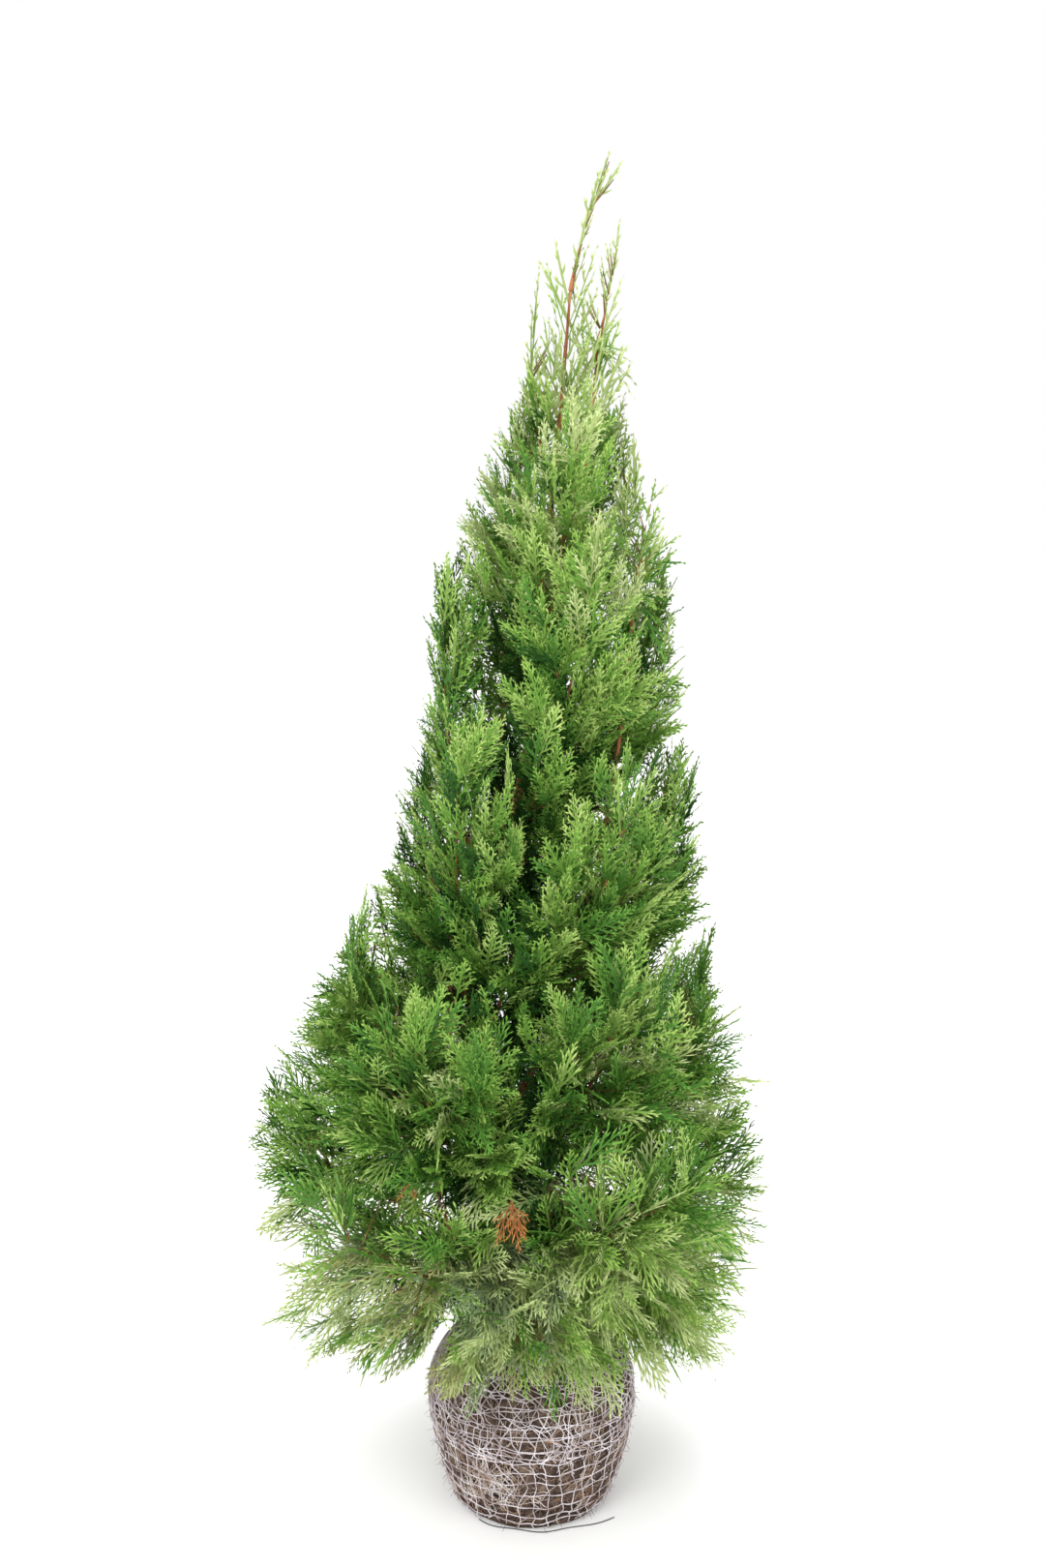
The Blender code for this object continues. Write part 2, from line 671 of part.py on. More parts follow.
def make_foliage(limbs, leaders, surface, materials):
    """Each mass: its stem and its sprays, fused into one solid."""
    wood = wood_of(limbs, leaders)
    for own, limb in enumerate(limbs):
        length = sum((b - a).length for a, b in zip(limb["path"], limb["path"][1:]))
        start = limb["bough"] + CLEARANCE / length if limb["bough"] else 0.0
        stem = part_of(limb["path"], start, STEM_END, STEM_STEPS)
        radii = np.linspace(STEM_FOOT_RADIUS, STEM_TIP_RADIUS, len(stem))
        if not limb["bough"] and "limb" not in limb:
            seat_foot(stem, radii[0], STEM_SIDES, surface)
        sprays = sprays_on(limb, Space(own, limbs, wood), GROWTH_SEED + own)
        colour = MASS_COLOURS.get(limb["name"].split("_")[0], "fresh")
        fused("foliage_" + limb["name"], [tube(stem, radii, STEM_SIDES), *sprays], materials[colour])


def main():
    for item in list(bpy.data.objects):
        bpy.data.objects.remove(item)
    materials = make_materials()
    leaders = leader_paths()
    limbs = tier_limbs() + tuft_limbs(leaders)
    make_ball(materials)
    make_net(materials)
    surface = make_wood(limbs, leaders, materials)
    make_foliage(limbs, leaders, surface, materials)


main()
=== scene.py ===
import json
import math
import random

import bpy
import numpy as np
from mathutils import Matrix, Vector, noise
from mathutils.kdtree import KDTree

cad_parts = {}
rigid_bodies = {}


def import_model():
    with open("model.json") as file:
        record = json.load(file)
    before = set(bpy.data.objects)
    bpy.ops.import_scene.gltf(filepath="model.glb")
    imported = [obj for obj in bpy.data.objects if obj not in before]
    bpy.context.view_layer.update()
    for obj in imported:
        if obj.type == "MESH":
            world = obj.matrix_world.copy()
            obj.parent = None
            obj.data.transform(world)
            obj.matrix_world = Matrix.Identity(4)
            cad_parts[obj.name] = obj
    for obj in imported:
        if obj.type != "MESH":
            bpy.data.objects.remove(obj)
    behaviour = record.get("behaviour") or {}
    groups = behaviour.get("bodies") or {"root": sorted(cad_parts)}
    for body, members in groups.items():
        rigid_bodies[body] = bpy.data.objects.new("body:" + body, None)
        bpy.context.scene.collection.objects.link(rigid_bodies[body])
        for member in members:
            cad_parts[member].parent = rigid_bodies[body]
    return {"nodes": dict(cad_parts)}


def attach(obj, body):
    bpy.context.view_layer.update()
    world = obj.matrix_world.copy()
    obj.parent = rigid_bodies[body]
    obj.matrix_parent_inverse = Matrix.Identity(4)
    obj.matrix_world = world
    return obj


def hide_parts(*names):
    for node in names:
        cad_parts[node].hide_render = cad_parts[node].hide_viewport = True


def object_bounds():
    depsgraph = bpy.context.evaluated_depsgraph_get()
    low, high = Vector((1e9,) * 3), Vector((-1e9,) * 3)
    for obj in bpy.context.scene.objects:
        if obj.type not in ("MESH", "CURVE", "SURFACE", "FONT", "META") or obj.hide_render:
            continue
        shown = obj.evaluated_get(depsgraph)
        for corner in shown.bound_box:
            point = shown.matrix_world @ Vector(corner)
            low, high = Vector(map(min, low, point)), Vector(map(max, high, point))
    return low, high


for leftover in list(bpy.data.objects):  # the start-up cube, lamp and camera
    bpy.data.objects.remove(leftover)
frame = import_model()
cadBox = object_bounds()
rootScene = bpy.context.scene
print("frame loaded:", len(frame["nodes"]), "nodes")


def addObject(name, data):
    made = bpy.data.objects.new(name, data)
    rootScene.collection.objects.link(made)
    return made


def meshOf(name, points, edges, faces):
    mesh = bpy.data.meshes.new(name)
    mesh.from_pydata([tuple(point) for point in points], edges, faces)
    return mesh


cameraSetup = {  # metres, degrees and millimetres
    "place": (-0.0098, -1.514, 1.0207), "tilt": 80.5, "lens": 35.0, "sensor": 36.0,
}
lightSetup = {
    "sky": (1.0, 1.0, 1.0), "skyStrength": 1.0,
    "lamps": (  # name, place, aim, size, watts
        ("keyLamp", (-1.6, -2.2, 2.6), (0.0, 0.0, 0.6), 1.6, 56.0),
        ("fillLamp", (2.0, -1.8, 1.8), (0.0, 0.0, 0.5), 1.8, 24.0),
        ("topLamp", (0.2, 0.6, 3.2), (0.0, 0.0, 0.8), 1.4, 30.0)),
    # keeps the far floor as pale as the near
    "even": {"strength": 0.55, "spread": 60.0, "turn": (12.0, -10.0, 0.0)},
}


def makeCamera():
    data = bpy.data.cameras.new("frontCamera")
    data.lens, data.sensor_width = cameraSetup["lens"], cameraSetup["sensor"]
    data.sensor_fit = "AUTO"
    camera = addObject("frontCamera", data)
    camera.location = cameraSetup["place"]
    camera.rotation_euler = (math.radians(cameraSetup["tilt"]), 0.0, 0.0)
    rootScene.camera = camera


def makeLights():
    world = bpy.data.worlds.new("paleStudio")
    world.use_nodes = True
    sky = world.node_tree.nodes["Background"]
    sky.inputs["Color"].default_value = (*lightSetup["sky"], 1.0)
    sky.inputs["Strength"].default_value = lightSetup["skyStrength"]
    rootScene.world = world
    for name, place, aim, size, watts in lightSetup["lamps"]:
        data = bpy.data.lights.new(name, "AREA")
        data.size, data.energy = size, watts
        lamp = addObject(name, data)
        lamp.location = place
        lamp.rotation_euler = (Vector(aim) - Vector(place)).to_track_quat("-Z", "Y").to_euler()
    even = lightSetup["even"]
    data = bpy.data.lights.new("evenLamp", "SUN")
    data.energy, data.angle = even["strength"], math.radians(even["spread"])
    addObject("evenLamp", data).rotation_euler = [math.radians(turn) for turn in even["turn"]]


makeCamera()
makeLights()
rootScene.view_settings.view_transform = "Standard"
print("camera and light set")


def addNode(tree, kind, wires=None, **settings):
    made = tree.nodes.new(kind)
    for key, value in settings.items():
        setattr(made, key, value)
    for key, value in (wires or {}).items():
        if isinstance(value, bpy.types.NodeSocket):
            tree.links.new(value, made.inputs[key])
        else:
            made.inputs[key].default_value = value
    return made


def newMaterial(name, roughness, specular=0.4):
    material = bpy.data.materials.new(name)
    material.use_nodes = True
    shader = material.node_tree.nodes["Principled BSDF"]
    shader.inputs["Roughness"].default_value = roughness
    shader.inputs["Specular IOR Level"].default_value = specular
    return material, material.node_tree, shader


def rampNode(tree, value, stops):
    ramp = addNode(tree, "ShaderNodeValToRGB", {"Fac": value})
    while len(ramp.color_ramp.elements) < len(stops):
        ramp.color_ramp.elements.new(0.5)
    for element, (at, colour) in zip(ramp.color_ramp.elements, stops):
        element.position, element.color = at, (*colour, 1.0)
    return ramp.outputs["Color"]


def noisyMaterial(name, look):
    # a colour ramp over noise in Object coordinates, with bump from the same noise
    material, tree, shader = newMaterial(name, look["roughness"], 0.3)
    place = addNode(tree, "ShaderNodeTexCoord").outputs["Object"]
    stretch = look.get("stretch", (1.0, 1.0, 1.0))
    mapped = addNode(tree, "ShaderNodeMapping", {"Vector": place, "Scale": stretch})
    grain = addNode(tree, "ShaderNodeTexNoise", {
        "Vector": mapped.outputs["Vector"], "Scale": look["scale"], "Detail": look["detail"],
        "Roughness": 0.62}).outputs["Fac"]
    colour = rampNode(tree, grain, look["stops"])
    if "upperStops" in look:  # another finish higher up, with a soft change between the two
        height = addNode(tree, "ShaderNodeSeparateXYZ", {"Vector": place}).outputs["Z"]
        share = addNode(tree, "ShaderNodeMapRange", {
            "Value": height, "From Min": look["change"][0], "From Max": look["change"][1]})
        upper = rampNode(tree, grain, look["upperStops"])
        both = addNode(tree, "ShaderNodeMixRGB", {
            "Fac": share.outputs["Result"], "Color1": colour, "Color2": upper})
        colour = both.outputs["Color"]
    tree.links.new(colour, shader.inputs["Base Color"])
    strength, reach = look.get("bump", 0.2), look.get("bumpReach", 0.0003)
    bump = addNode(tree, "ShaderNodeBump", {"Height": grain, "Strength": strength, "Distance": reach})
    tree.links.new(bump.outputs["Normal"], shader.inputs["Normal"])
    return material


woodLooks = {  # bumpReach in metres; stops are (where on the noise, colour)
    "oldBark": {"roughness": 0.85, "stretch": (1.0, 1.0, 0.16), "scale": 260.0, "detail": 5.0,
                "stops": ((0.30, (0.030, 0.016, 0.010)), (0.50, (0.115, 0.052, 0.028)),
                          (0.66, (0.250, 0.125, 0.070)), (0.80, (0.340, 0.220, 0.150))),
                "bump": 0.8, "bumpReach": 0.0010},
    "youngBark": {"roughness": 0.60, "stretch": (1.0, 1.0, 0.20), "scale": 300.0, "detail": 4.0,
                  "stops": ((0.30, (0.170, 0.052, 0.018)), (0.52, (0.360, 0.125, 0.045)),
                            (0.72, (0.520, 0.230, 0.095))),
                  "bump": 0.5, "bumpReach": 0.0006},
    "trunkBark": {"roughness": 0.75, "stretch": (1.0, 1.0, 0.18), "scale": 280.0, "detail": 5.0,
                  "stops": ((0.30, (0.024, 0.013, 0.009)), (0.50, (0.085, 0.042, 0.026)),
                            (0.68, (0.200, 0.110, 0.068)), (0.80, (0.300, 0.200, 0.140))),
                  "upperStops": ((0.30, (0.150, 0.048, 0.018)), (0.52, (0.330, 0.118, 0.044)),
                                 (0.72, (0.500, 0.225, 0.095))),
                  "change": (0.46, 0.66), "bump": 0.7, "bumpReach": 0.0009},
    "twigBark": {"roughness": 0.70, "stretch": (1.0, 1.0, 0.5), "scale": 60.0, "detail": 3.0,
                 "stops": ((0.34, (0.085, 0.045, 0.020)), (0.52, (0.190, 0.085, 0.035)),
                           (0.68, (0.330, 0.150, 0.060))),
                 "bump": 0.3, "bumpReach": 0.0004},
}
ballLooks = {
    "soil": {"roughness": 0.95, "scale": 75.0, "detail": 8.0,
             "stops": ((0.32, (0.014, 0.010, 0.008)), (0.48, (0.050, 0.032, 0.024)),
                       (0.60, (0.105, 0.068, 0.050)), (0.76, (0.210, 0.145, 0.110))),
             "upperStops": ((0.32, (0.020, 0.014, 0.011)), (0.48, (0.075, 0.049, 0.037)),
                            (0.60, (0.150, 0.102, 0.078)), (0.76, (0.290, 0.210, 0.165))),
             "change": (0.014, 0.045), "bump": 1.0, "bumpReach": 0.0020},
    "root": {"roughness": 0.80, "scale": 55.0, "detail": 3.0,
             "stops": ((0.34, (0.060, 0.036, 0.026)), (0.46, (0.170, 0.105, 0.075)),
                       (0.56, (0.330, 0.200, 0.130)), (0.70, (0.520, 0.360, 0.240))),
             "upperStops": ((0.38, (0.120, 0.076, 0.058)), (0.50, (0.300, 0.205, 0.158)),
                            (0.60, (0.460, 0.300, 0.200)), (0.66, (0.640, 0.350, 0.160))),
             "change": (0.016, 0.040)},
    "paleRoot": {"roughness": 0.80, "scale": 50.0, "detail": 3.0,
                 "stops": ((0.38, (0.400, 0.290, 0.230)), (0.50, (0.640, 0.530, 0.460)),
                           (0.62, (0.830, 0.760, 0.720)))},
    "wire": {"roughness": 0.50, "scale": 45.0, "detail": 4.0,
             "stops": ((0.30, (0.300, 0.235, 0.230)), (0.42, (0.520, 0.450, 0.470)),
                       (0.56, (0.740, 0.680, 0.715)), (0.72, (0.900, 0.860, 0.890)))},
    "darkWire": {"roughness": 0.55, "scale": 60.0, "detail": 3.0,
                 "stops": ((0.35, (0.020, 0.020, 0.022)), (0.65, (0.070, 0.068, 0.072)))},
}
leafShades = {  # one for each spray: (its body, its fresh tips)
    "pale": ((0.330, 0.420, 0.150), (0.500, 0.580, 0.260)),
    "sunlit": ((0.210, 0.350, 0.070), (0.390, 0.530, 0.150)),
    "fresh": ((0.120, 0.255, 0.035), (0.270, 0.430, 0.085)),
    # mid: partly the spray's own green, partly painted shade for sprays part way into the crown
    "mid": ((0.055, 0.160, 0.020), (0.130, 0.280, 0.042)),
    # painted shade: the darkest green, for sprays deep inside the crown where shade falls
    "deep": ((0.018, 0.070, 0.010), (0.040, 0.125, 0.018)),
    "grey": ((0.190, 0.260, 0.130), (0.330, 0.420, 0.210)),
    "olive": ((0.210, 0.225, 0.085), (0.360, 0.380, 0.145)),
    "rust": ((0.240, 0.085, 0.025), (0.460, 0.180, 0.050)),
}
shadeNames = list(leafShades)

woodMaterials = {name: noisyMaterial(name, look) for name, look in woodLooks.items()}
ballMaterials = {name: noisyMaterial(name, look) for name, look in ballLooks.items()}
leafMaterials = []  # body and tips of each shade, in turn
for shadeName, colours in leafShades.items():
    for part, colour in zip(("Spray", "Tips"), colours):
        leafMaterial, _, leafShader = newMaterial(shadeName + part, 0.6, 0.15)
        leafShader.inputs["Base Color"].default_value = (*colour, 1.0)
        leafMaterials.append(leafMaterial)
print("materials made")

# the plant's rule, in metres and degrees: trunk, crown and limbs
clearance = 0.0003  # between solids that stand on each other
trunkRule = {
    "stations": (  # height, sideways place, radius
        (0.1863, -0.004, 0.0110), (0.360, -0.026, 0.0088), (0.520, -0.050, 0.0072),
        (0.640, -0.044, 0.0062), (0.790, -0.007, 0.0050), (0.930, 0.003, 0.0038),
        (1.040, 0.018, 0.0029), (1.245, 0.036, 0.0015)),
    "flare": 0.009, "flareHeight": 0.022, "samples": 40,
}
crownOutline = (  # height, sideways place of the middle, half the width
    (0.130, -0.010, 0.150), (0.200, -0.022, 0.238), (0.300, -0.032, 0.254), (0.344, -0.034, 0.264),
    (0.390, -0.014, 0.270), (0.450, -0.036, 0.258), (0.510, -0.026, 0.226), (0.600, -0.012, 0.190),
    (0.700, 0.014, 0.158), (0.850, 0.022, 0.128), (1.000, 0.026, 0.114), (1.110, 0.030, 0.068),
    (1.200, 0.046, 0.042), (1.260, 0.055, 0.034), (1.300, 0.062, 0.026), (1.377, 0.078, 0.022))
hemRule = {  # the crown's lower edge: its rise towards the front, and how far sprays stray under it
    "rise": 0.55, "stray": 0.012, "droopShare": 0.08, "droopReach": 0.028,
    "middleHalf": 0.075, "middleReach": 0.040}
tierRule = (
    {"name": "skirt", "count": 6, "root": 0.222, "tip": 0.190, "turn": 32, "bend": 0.060,
     "bough": 0.34, "sprays": 7, "spray": 0.170, "droop": 0.26, "frontLift": 0.090},
    {"name": "low", "count": 6, "root": 0.262, "tip": 0.400, "turn": 2, "bend": -0.005,
     "bough": 0.32, "sprays": 8, "spray": 0.185, "droop": 0.10},
    {"name": "wide", "count": 6, "root": 0.345, "tip": 0.590, "turn": 2, "bend": -0.040,
     "bough": 0.32, "sprays": 8, "spray": 0.180, "droop": 0.00},
    {"name": "middle", "count": 5, "root": 0.480, "tip": 0.790, "turn": 12, "bend": -0.055,
     "bough": 0.0, "sprays": 8, "spray": 0.175, "droop": -0.04},
    {"name": "upper", "count": 4, "root": 0.660, "tip": 0.980, "turn": 20, "bend": -0.050,
     "bough": 0.0, "sprays": 8, "spray": 0.160, "droop": -0.04},
    {"name": "shoulder", "count": 3, "root": 0.860, "tip": 1.140, "turn": 40, "bend": -0.035,
     "bough": 0.0, "sprays": 8, "spray": 0.120, "droop": -0.04},
)
limbRule = {
    "bow": 0.2, "rootStagger": 0.011, "tipStagger": 0.050, "stemEnd": 0.66, "boughFoot": 0.0042,
    "stemFoot": 0.0026, "leaderTip": 0.0018, "samples": 24,
}
leaderRule = (
    {"name": "right_leader", "root": 0.420, "azimuth": -28, "bend": (0.074, -0.052, 0.600),
     "tip": (0.098, -0.030, 0.960), "radius": 0.0042},
    {"name": "second_leader", "root": 0.905, "azimuth": -20, "bend": (0.052, -0.014, 1.020),
     "tip": (0.062, -0.010, 1.195), "radius": 0.0024},
)
tuftRule = (
    {"name": "leader_tip", "limb": "trunk", "bend": (0.048, 0.000, 1.310),
     "tip": (0.0780, 0.000, 1.377), "sprays": 9, "spray": 0.060},
    {"name": "second_leader", "limb": "second_leader", "bend": (0.074, -0.010, 1.240),
     "tip": (0.0830, -0.008, 1.305), "sprays": 8, "spray": 0.060},
    {"name": "right_leader", "limb": "right_leader", "bend": (0.106, -0.030, 1.010),
     "tip": (0.1180, -0.030, 1.070), "sprays": 8, "spray": 0.075},
    {"name": "left_crest", "root": 1.075, "rootAzimuth": 176, "bend": (-0.012, -0.006, 1.140),
     "tip": (0.0060, -0.010, 1.255), "sprays": 9, "spray": 0.075},
)
growthRule = {
    "seed": 41, "start": 0.06, "goldenAngle": 137.5, "spreadAtRoot": 66, "spreadAtTip": 26,
    "sidewaysBias": 1.35, "rollRange": 28, "shortenings": (1.0, 0.88, 0.76, 0.64, 0.54, 0.46),
    "turnTries": (0, 30, -30, 60, -60, 90, -90), "spaceMargin": 0.0018, "limbMargin": 0.0020,
    "edgeRoom": 1.015, "sprayMiddle": 0.6, "inwardLimit": -0.3, "edgeOnLimit": 0.85,
    "turnRange": 20, "sizeRange": 0.1, "gap": 0.58, "faceLift": 0.3,
    "tuftAzimuth": -90, "tuftDroop": -0.05,
}
bladeRule = {  # the outline that a spray has to keep to, as shares of its length
    "teeth": 3, "shortTeeth": 2, "shortSpray": 0.095, "stalkEnd": 0.26, "teethEnd": 0.76,
    "stalkHalfWidth": 0.020, "halfThickness": 0.013, "thinning": 0.5, "notchForward": 0.080,
    "notchHalfWidth": 0.130, "toothForward": 0.120, "halfWidth": 0.350,
}


def outward(azimuth):
    angle = math.radians(azimuth)
    return Vector((math.cos(angle), math.sin(angle), 0.0))


def upward(height):
    return Vector((0, 0, height))


def trunkAt(height):
    # centre and radius of the trunk, on a smooth curve through its stations
    heights, *columns = zip(*trunkRule["stations"])
    index = int(np.clip(np.searchsorted(heights, height) - 1, 0, len(heights) - 2))
    span = heights[index + 1] - heights[index]
    share = (height - heights[index]) / span
    values = []
    for column in columns:
        slopes = np.gradient(column, heights)
        rise = (1 + 2 * share) * (1 - share) ** 2 * column[index]
        rise += share * (1 - share) ** 2 * span * slopes[index]
        rise += share**2 * (3 - 2 * share) * column[index + 1]
        rise += share**2 * (share - 1) * span * slopes[index + 1]
        values.append(float(rise))
    flare = trunkRule["flare"] * math.exp((heights[0] - height) / trunkRule["flareHeight"])
    return Vector((values[0], 0.0, height)), values[1] + flare


def crownAt(height):
    # sideways place of the crown's middle, and half its width
    heights, middles, widths = zip(*crownOutline)
    return float(np.interp(height, heights, middles)), float(np.interp(height, heights, widths))


def hemAt(point):
    # the crown's lower edge rises towards the front
    return crownOutline[0][0] + hemRule["rise"] * max(0, -point.y)


def bentPath(start, bend, end, count):
    path = []
    for step in range(count + 1):
        t = step / count
        path.append((1 - t) ** 2 * start + 2 * t * (1 - t) * bend + t**2 * end)
    return path


def partOf(path, first, last, count):
    # even points on a path between two shares of its length
    lengths = np.cumsum([0.0] + [(b - a).length for a, b in zip(path, path[1:])])
    wanted = np.linspace(first, last, count + 1) * lengths[-1]
    columns = [np.interp(wanted, lengths, [point[axis] for point in path]) for axis in range(3)]
    return [Vector(point) for point in zip(*columns)]


def limbRoot(height, azimuth, radius):
    centre, trunkRadius = trunkAt(height)
    return centre + outward(azimuth) * (trunkRadius + radius)


def tierLimbs():
    rule = limbRule
    limbs = []
    for tier in tierRule:
        for number in range(tier["count"]):
            odd = number % 2
            azimuth = tier["turn"] + 360 * number / tier["count"]
            tipHeight = tier["tip"] + rule["tipStagger"] * (odd - 0.5)
            tipHeight += tier.get("frontLift", 0) * max(0, -outward(azimuth).y)
            middle, reach = crownAt(tipHeight)
            radius = rule["boughFoot"] if tier["bough"] else rule["stemFoot"]
            start = limbRoot(tier["root"] + rule["rootStagger"] * odd, azimuth, radius)
            end = Vector((middle, 0, tipHeight)) + outward(azimuth) * reach
            bend = (start + end) / 2 + outward(azimuth) * rule["bow"] * reach
            bend.z = (start.z + end.z) / 2 + tier["bend"]
            limbs.append({**tier, "tier": tier["name"], "name": f"{tier['name']}_{number + 1}",
                          "azimuth": azimuth, "path": bentPath(start, bend, end, rule["samples"])})
    return limbs


def leaderPaths():
    stations = trunkRule["stations"]
    heights = np.linspace(stations[0][0], stations[-1][0], trunkRule["samples"])
    rings = [trunkAt(height) for height in heights]
    paths = {"trunk": ([centre for centre, _ in rings], [radius for _, radius in rings])}
    for leader in leaderRule:
        start = limbRoot(leader["root"], leader["azimuth"], leader["radius"])
        path = bentPath(start, Vector(leader["bend"]), Vector(leader["tip"]), limbRule["samples"])
        radii = np.linspace(leader["radius"], limbRule["leaderTip"], len(path))
        paths[leader["name"]] = (path, list(radii))
    return paths


def tuftLimbs(leaders):
    limbs = []
    for tuft in tuftRule:
        if "limb" in tuft:
            path, _ = leaders[tuft["limb"]]
            start = path[-1] + (path[-1] - path[-2]).normalized() * clearance
        else:
            start = limbRoot(tuft["root"], tuft["rootAzimuth"], limbRule["stemFoot"])
        path = bentPath(start, Vector(tuft["bend"]), Vector(tuft["tip"]), limbRule["samples"])
        limbs.append({**tuft, "tier": "tuft", "bough": 0.0, "droop": growthRule["tuftDroop"],
                      "azimuth": growthRule["tuftAzimuth"], "path": path})
    return limbs


def treeOf(points):
    tree = KDTree(len(points))
    for index, point in enumerate(points):
        tree.insert(point, index)
    tree.balance()
    return tree


def woodOf(limbs, leaders):
    # points along the boughs, the trunk and the leaders, each with its radius
    wood = []
    for limb in limbs:
        if limb["bough"]:
            bare = partOf(limb["path"], 0, limb["bough"], limbRule["samples"])
            wood += [(point, limbRule["boughFoot"]) for point in bare]
    for path, radii in leaders.values():
        for first, last, radius in zip(path, path[1:], radii):
            wood += [(first.lerp(last, share), radius) for share in (0, 0.25, 0.5, 0.75)]
        wood.append((path[-1], radii[-1]))
    return wood


class Space:  # where one mass may grow
    def __init__(self, own, limbs, wood):
        stems = [partOf(limb["path"], limb["bough"], 1, limbRule["samples"]) for limb in limbs]
        self.own = treeOf(stems[own])
        self.others = treeOf([point for index, stem in enumerate(stems) if index != own for point in stem])
        self.wood = treeOf([point for point, _ in wood])
        self.radii = [radius for _, radius in wood]

    def holds(self, point):
        middle, width = crownAt(point.z)
        margin, limbMargin = growthRule["spaceMargin"], growthRule["limbMargin"]
        if not hemAt(point) < point.z < crownOutline[-1][0] + margin:
            return False
        if math.hypot(point.x - middle, point.y) > width * growthRule["edgeRoom"]:
            return False
        if self.others.find(point)[2] - self.own.find(point)[2] < margin:
            return False
        near = self.wood.find_range(point, max(self.radii) + limbMargin)
        return all(gap > self.radii[index] + limbMargin for _, index, gap in near)


def frameOn(heading, facing):
    # the sideways and upward ways across a heading
    side = facing.cross(upward(1))
    side = (side - side.dot(heading) * heading).normalized()
    return side, side.cross(heading)


def bladeTests(root, heading, face, length, droop):
    # the points of a spray's outline that are tested against its mass's space
    rule = bladeRule
    side = heading.cross(face).normalized()
    face = side.cross(heading).normalized()

    def place(across, forward, up):
        sag = upward(-droop * length * forward**2)
        return root + length * (across * side + forward * heading + up * face) + sag

    points = [place(across * rule["stalkHalfWidth"], forward, up * rule["halfThickness"])
              for forward in (0.0, rule["stalkEnd"]) for across, up in ((0, 1), (1, 0), (0, -1), (-1, 0))]
    edges = []
    top, right, bottom, left = 4, 5, 6, 7
    teeth = rule["shortTeeth"] if length < rule["shortSpray"] else rule["teeth"]
    for tooth in range(1, teeth + 1):
        forward = rule["stalkEnd"] + (rule["teethEnd"] - rule["stalkEnd"]) * tooth / teeth
        reach = rule["halfWidth"] * math.sin(math.pi * (tooth + 1) / (teeth + 2))
        thin = rule["halfThickness"] * (1 - rule["thinning"] * tooth / teeth)
        base = len(points)
        peak, notch = forward + rule["toothForward"], forward + rule["notchForward"]
        inset = rule["notchHalfWidth"]
        points += [place(reach, peak, 0), place(-reach, peak, 0), place(0, forward, thin),
                   place(inset, notch, 0), place(0, forward, -thin), place(-inset, notch, 0)]
        edges += [(top, right), (top, base), (base + 2, base), (left, top), (base + 1, top),
                  (base + 1, base + 2), (right, bottom), (base, bottom), (base, base + 4),
                  (bottom, left), (bottom, base + 1), (base + 4, base + 1)]
        top, right, bottom, left = base + 2, base + 3, base + 4, base + 5
    points.append(place(0, 1.0, 0))
    tip = len(points) - 1
    edges += [(top, right), (left, top), (right, bottom), (bottom, left)]
    return points[4:] + [(points[a] + points[b]) / 2 for a, b in edges] + [points[tip]]


def largestSpray(root, ways, facing, roll, size, droop, space, taken, gap):
    # the largest spray that keeps to its mass's space and clear of the stem's other sprays, or none
    rule = growthRule
    for shorter in rule["shortenings"]:
        for way in ways:
            middle = root + way * size * shorter * rule["sprayMiddle"]
            if any((middle - other).length < gap * size * shorter for other in taken):
                continue
            face = facing + upward(rule["faceLift"])
            if abs(face.normalized().dot(way)) > rule["edgeOnLimit"]:
                face = frameOn(way, facing)[1]
            across = way.cross(face).normalized()
            face = math.cos(roll) * across.cross(way) + math.sin(roll) * across
            if all(map(space.holds, bladeTests(root, way, face, size * shorter, droop))):
                taken.append(middle)
                return [{"root": root.copy(), "way": way.copy(), "face": face.copy(),
                         "length": size * shorter, "droop": droop}]
    return []


def waysOut(stem, step, facing, spread, turn):
    # the ways a spray may leave the stem, the wanted one first
    heading = (stem[step + 1] - stem[step]).normalized()
    side, above = frameOn(heading, facing)
    ways = []
    for extra in growthRule["turnTries"]:
        angle = math.radians(turn + extra)
        spoke = growthRule["sidewaysBias"] * math.cos(angle) * side + math.sin(angle) * above
        if spoke.dot(facing) < growthRule["inwardLimit"]:
            spoke = -spoke
        ways.append(math.cos(spread) * heading + math.sin(spread) * spoke.normalized())
    return ways


finerRule = {  # growthRule carried on to finer twigs
    "seed": 500, "count": 17, "tuftCount": 3, "size": 0.66, "sizeRange": 0.22, "gap": 0.20,
    "rollRange": 60, "turnRange": 30, "start": 0.02, "span": 0.97, "spread": (0.7, 1.15),
}


def sprayAt(limb, number, share, rule, rng, space, taken):
    # one spray on the stem, turned by the golden angle and as large as its space lets it be
    samples = limbRule["samples"]
    stem = partOf(limb["path"], limb["bough"], limbRule["stemEnd"], samples)
    step = min(int(share * samples), samples - 1)
    spreadAtRoot, spreadAtTip = growthRule["spreadAtRoot"], growthRule["spreadAtTip"]
    spread = math.radians(spreadAtRoot + (spreadAtTip - spreadAtRoot) * share)
    turn = growthRule["goldenAngle"] * number + rng.uniform(-rule["turnRange"], rule["turnRange"])
    roll = math.radians(rng.uniform(-rule["rollRange"], rule["rollRange"]))
    size = limb["spray"] * rule.get("size", 1.0) * rng.uniform(1 - rule["sizeRange"], 1 + rule["sizeRange"])
    spread *= rng.uniform(*rule["spread"]) if "spread" in rule else 1.0
    facing = outward(limb["azimuth"])
    ways = waysOut(stem, step, facing, spread, turn)
    return largestSpray(stem[step], ways, facing, roll, size, limb["droop"], space, taken, rule["gap"])


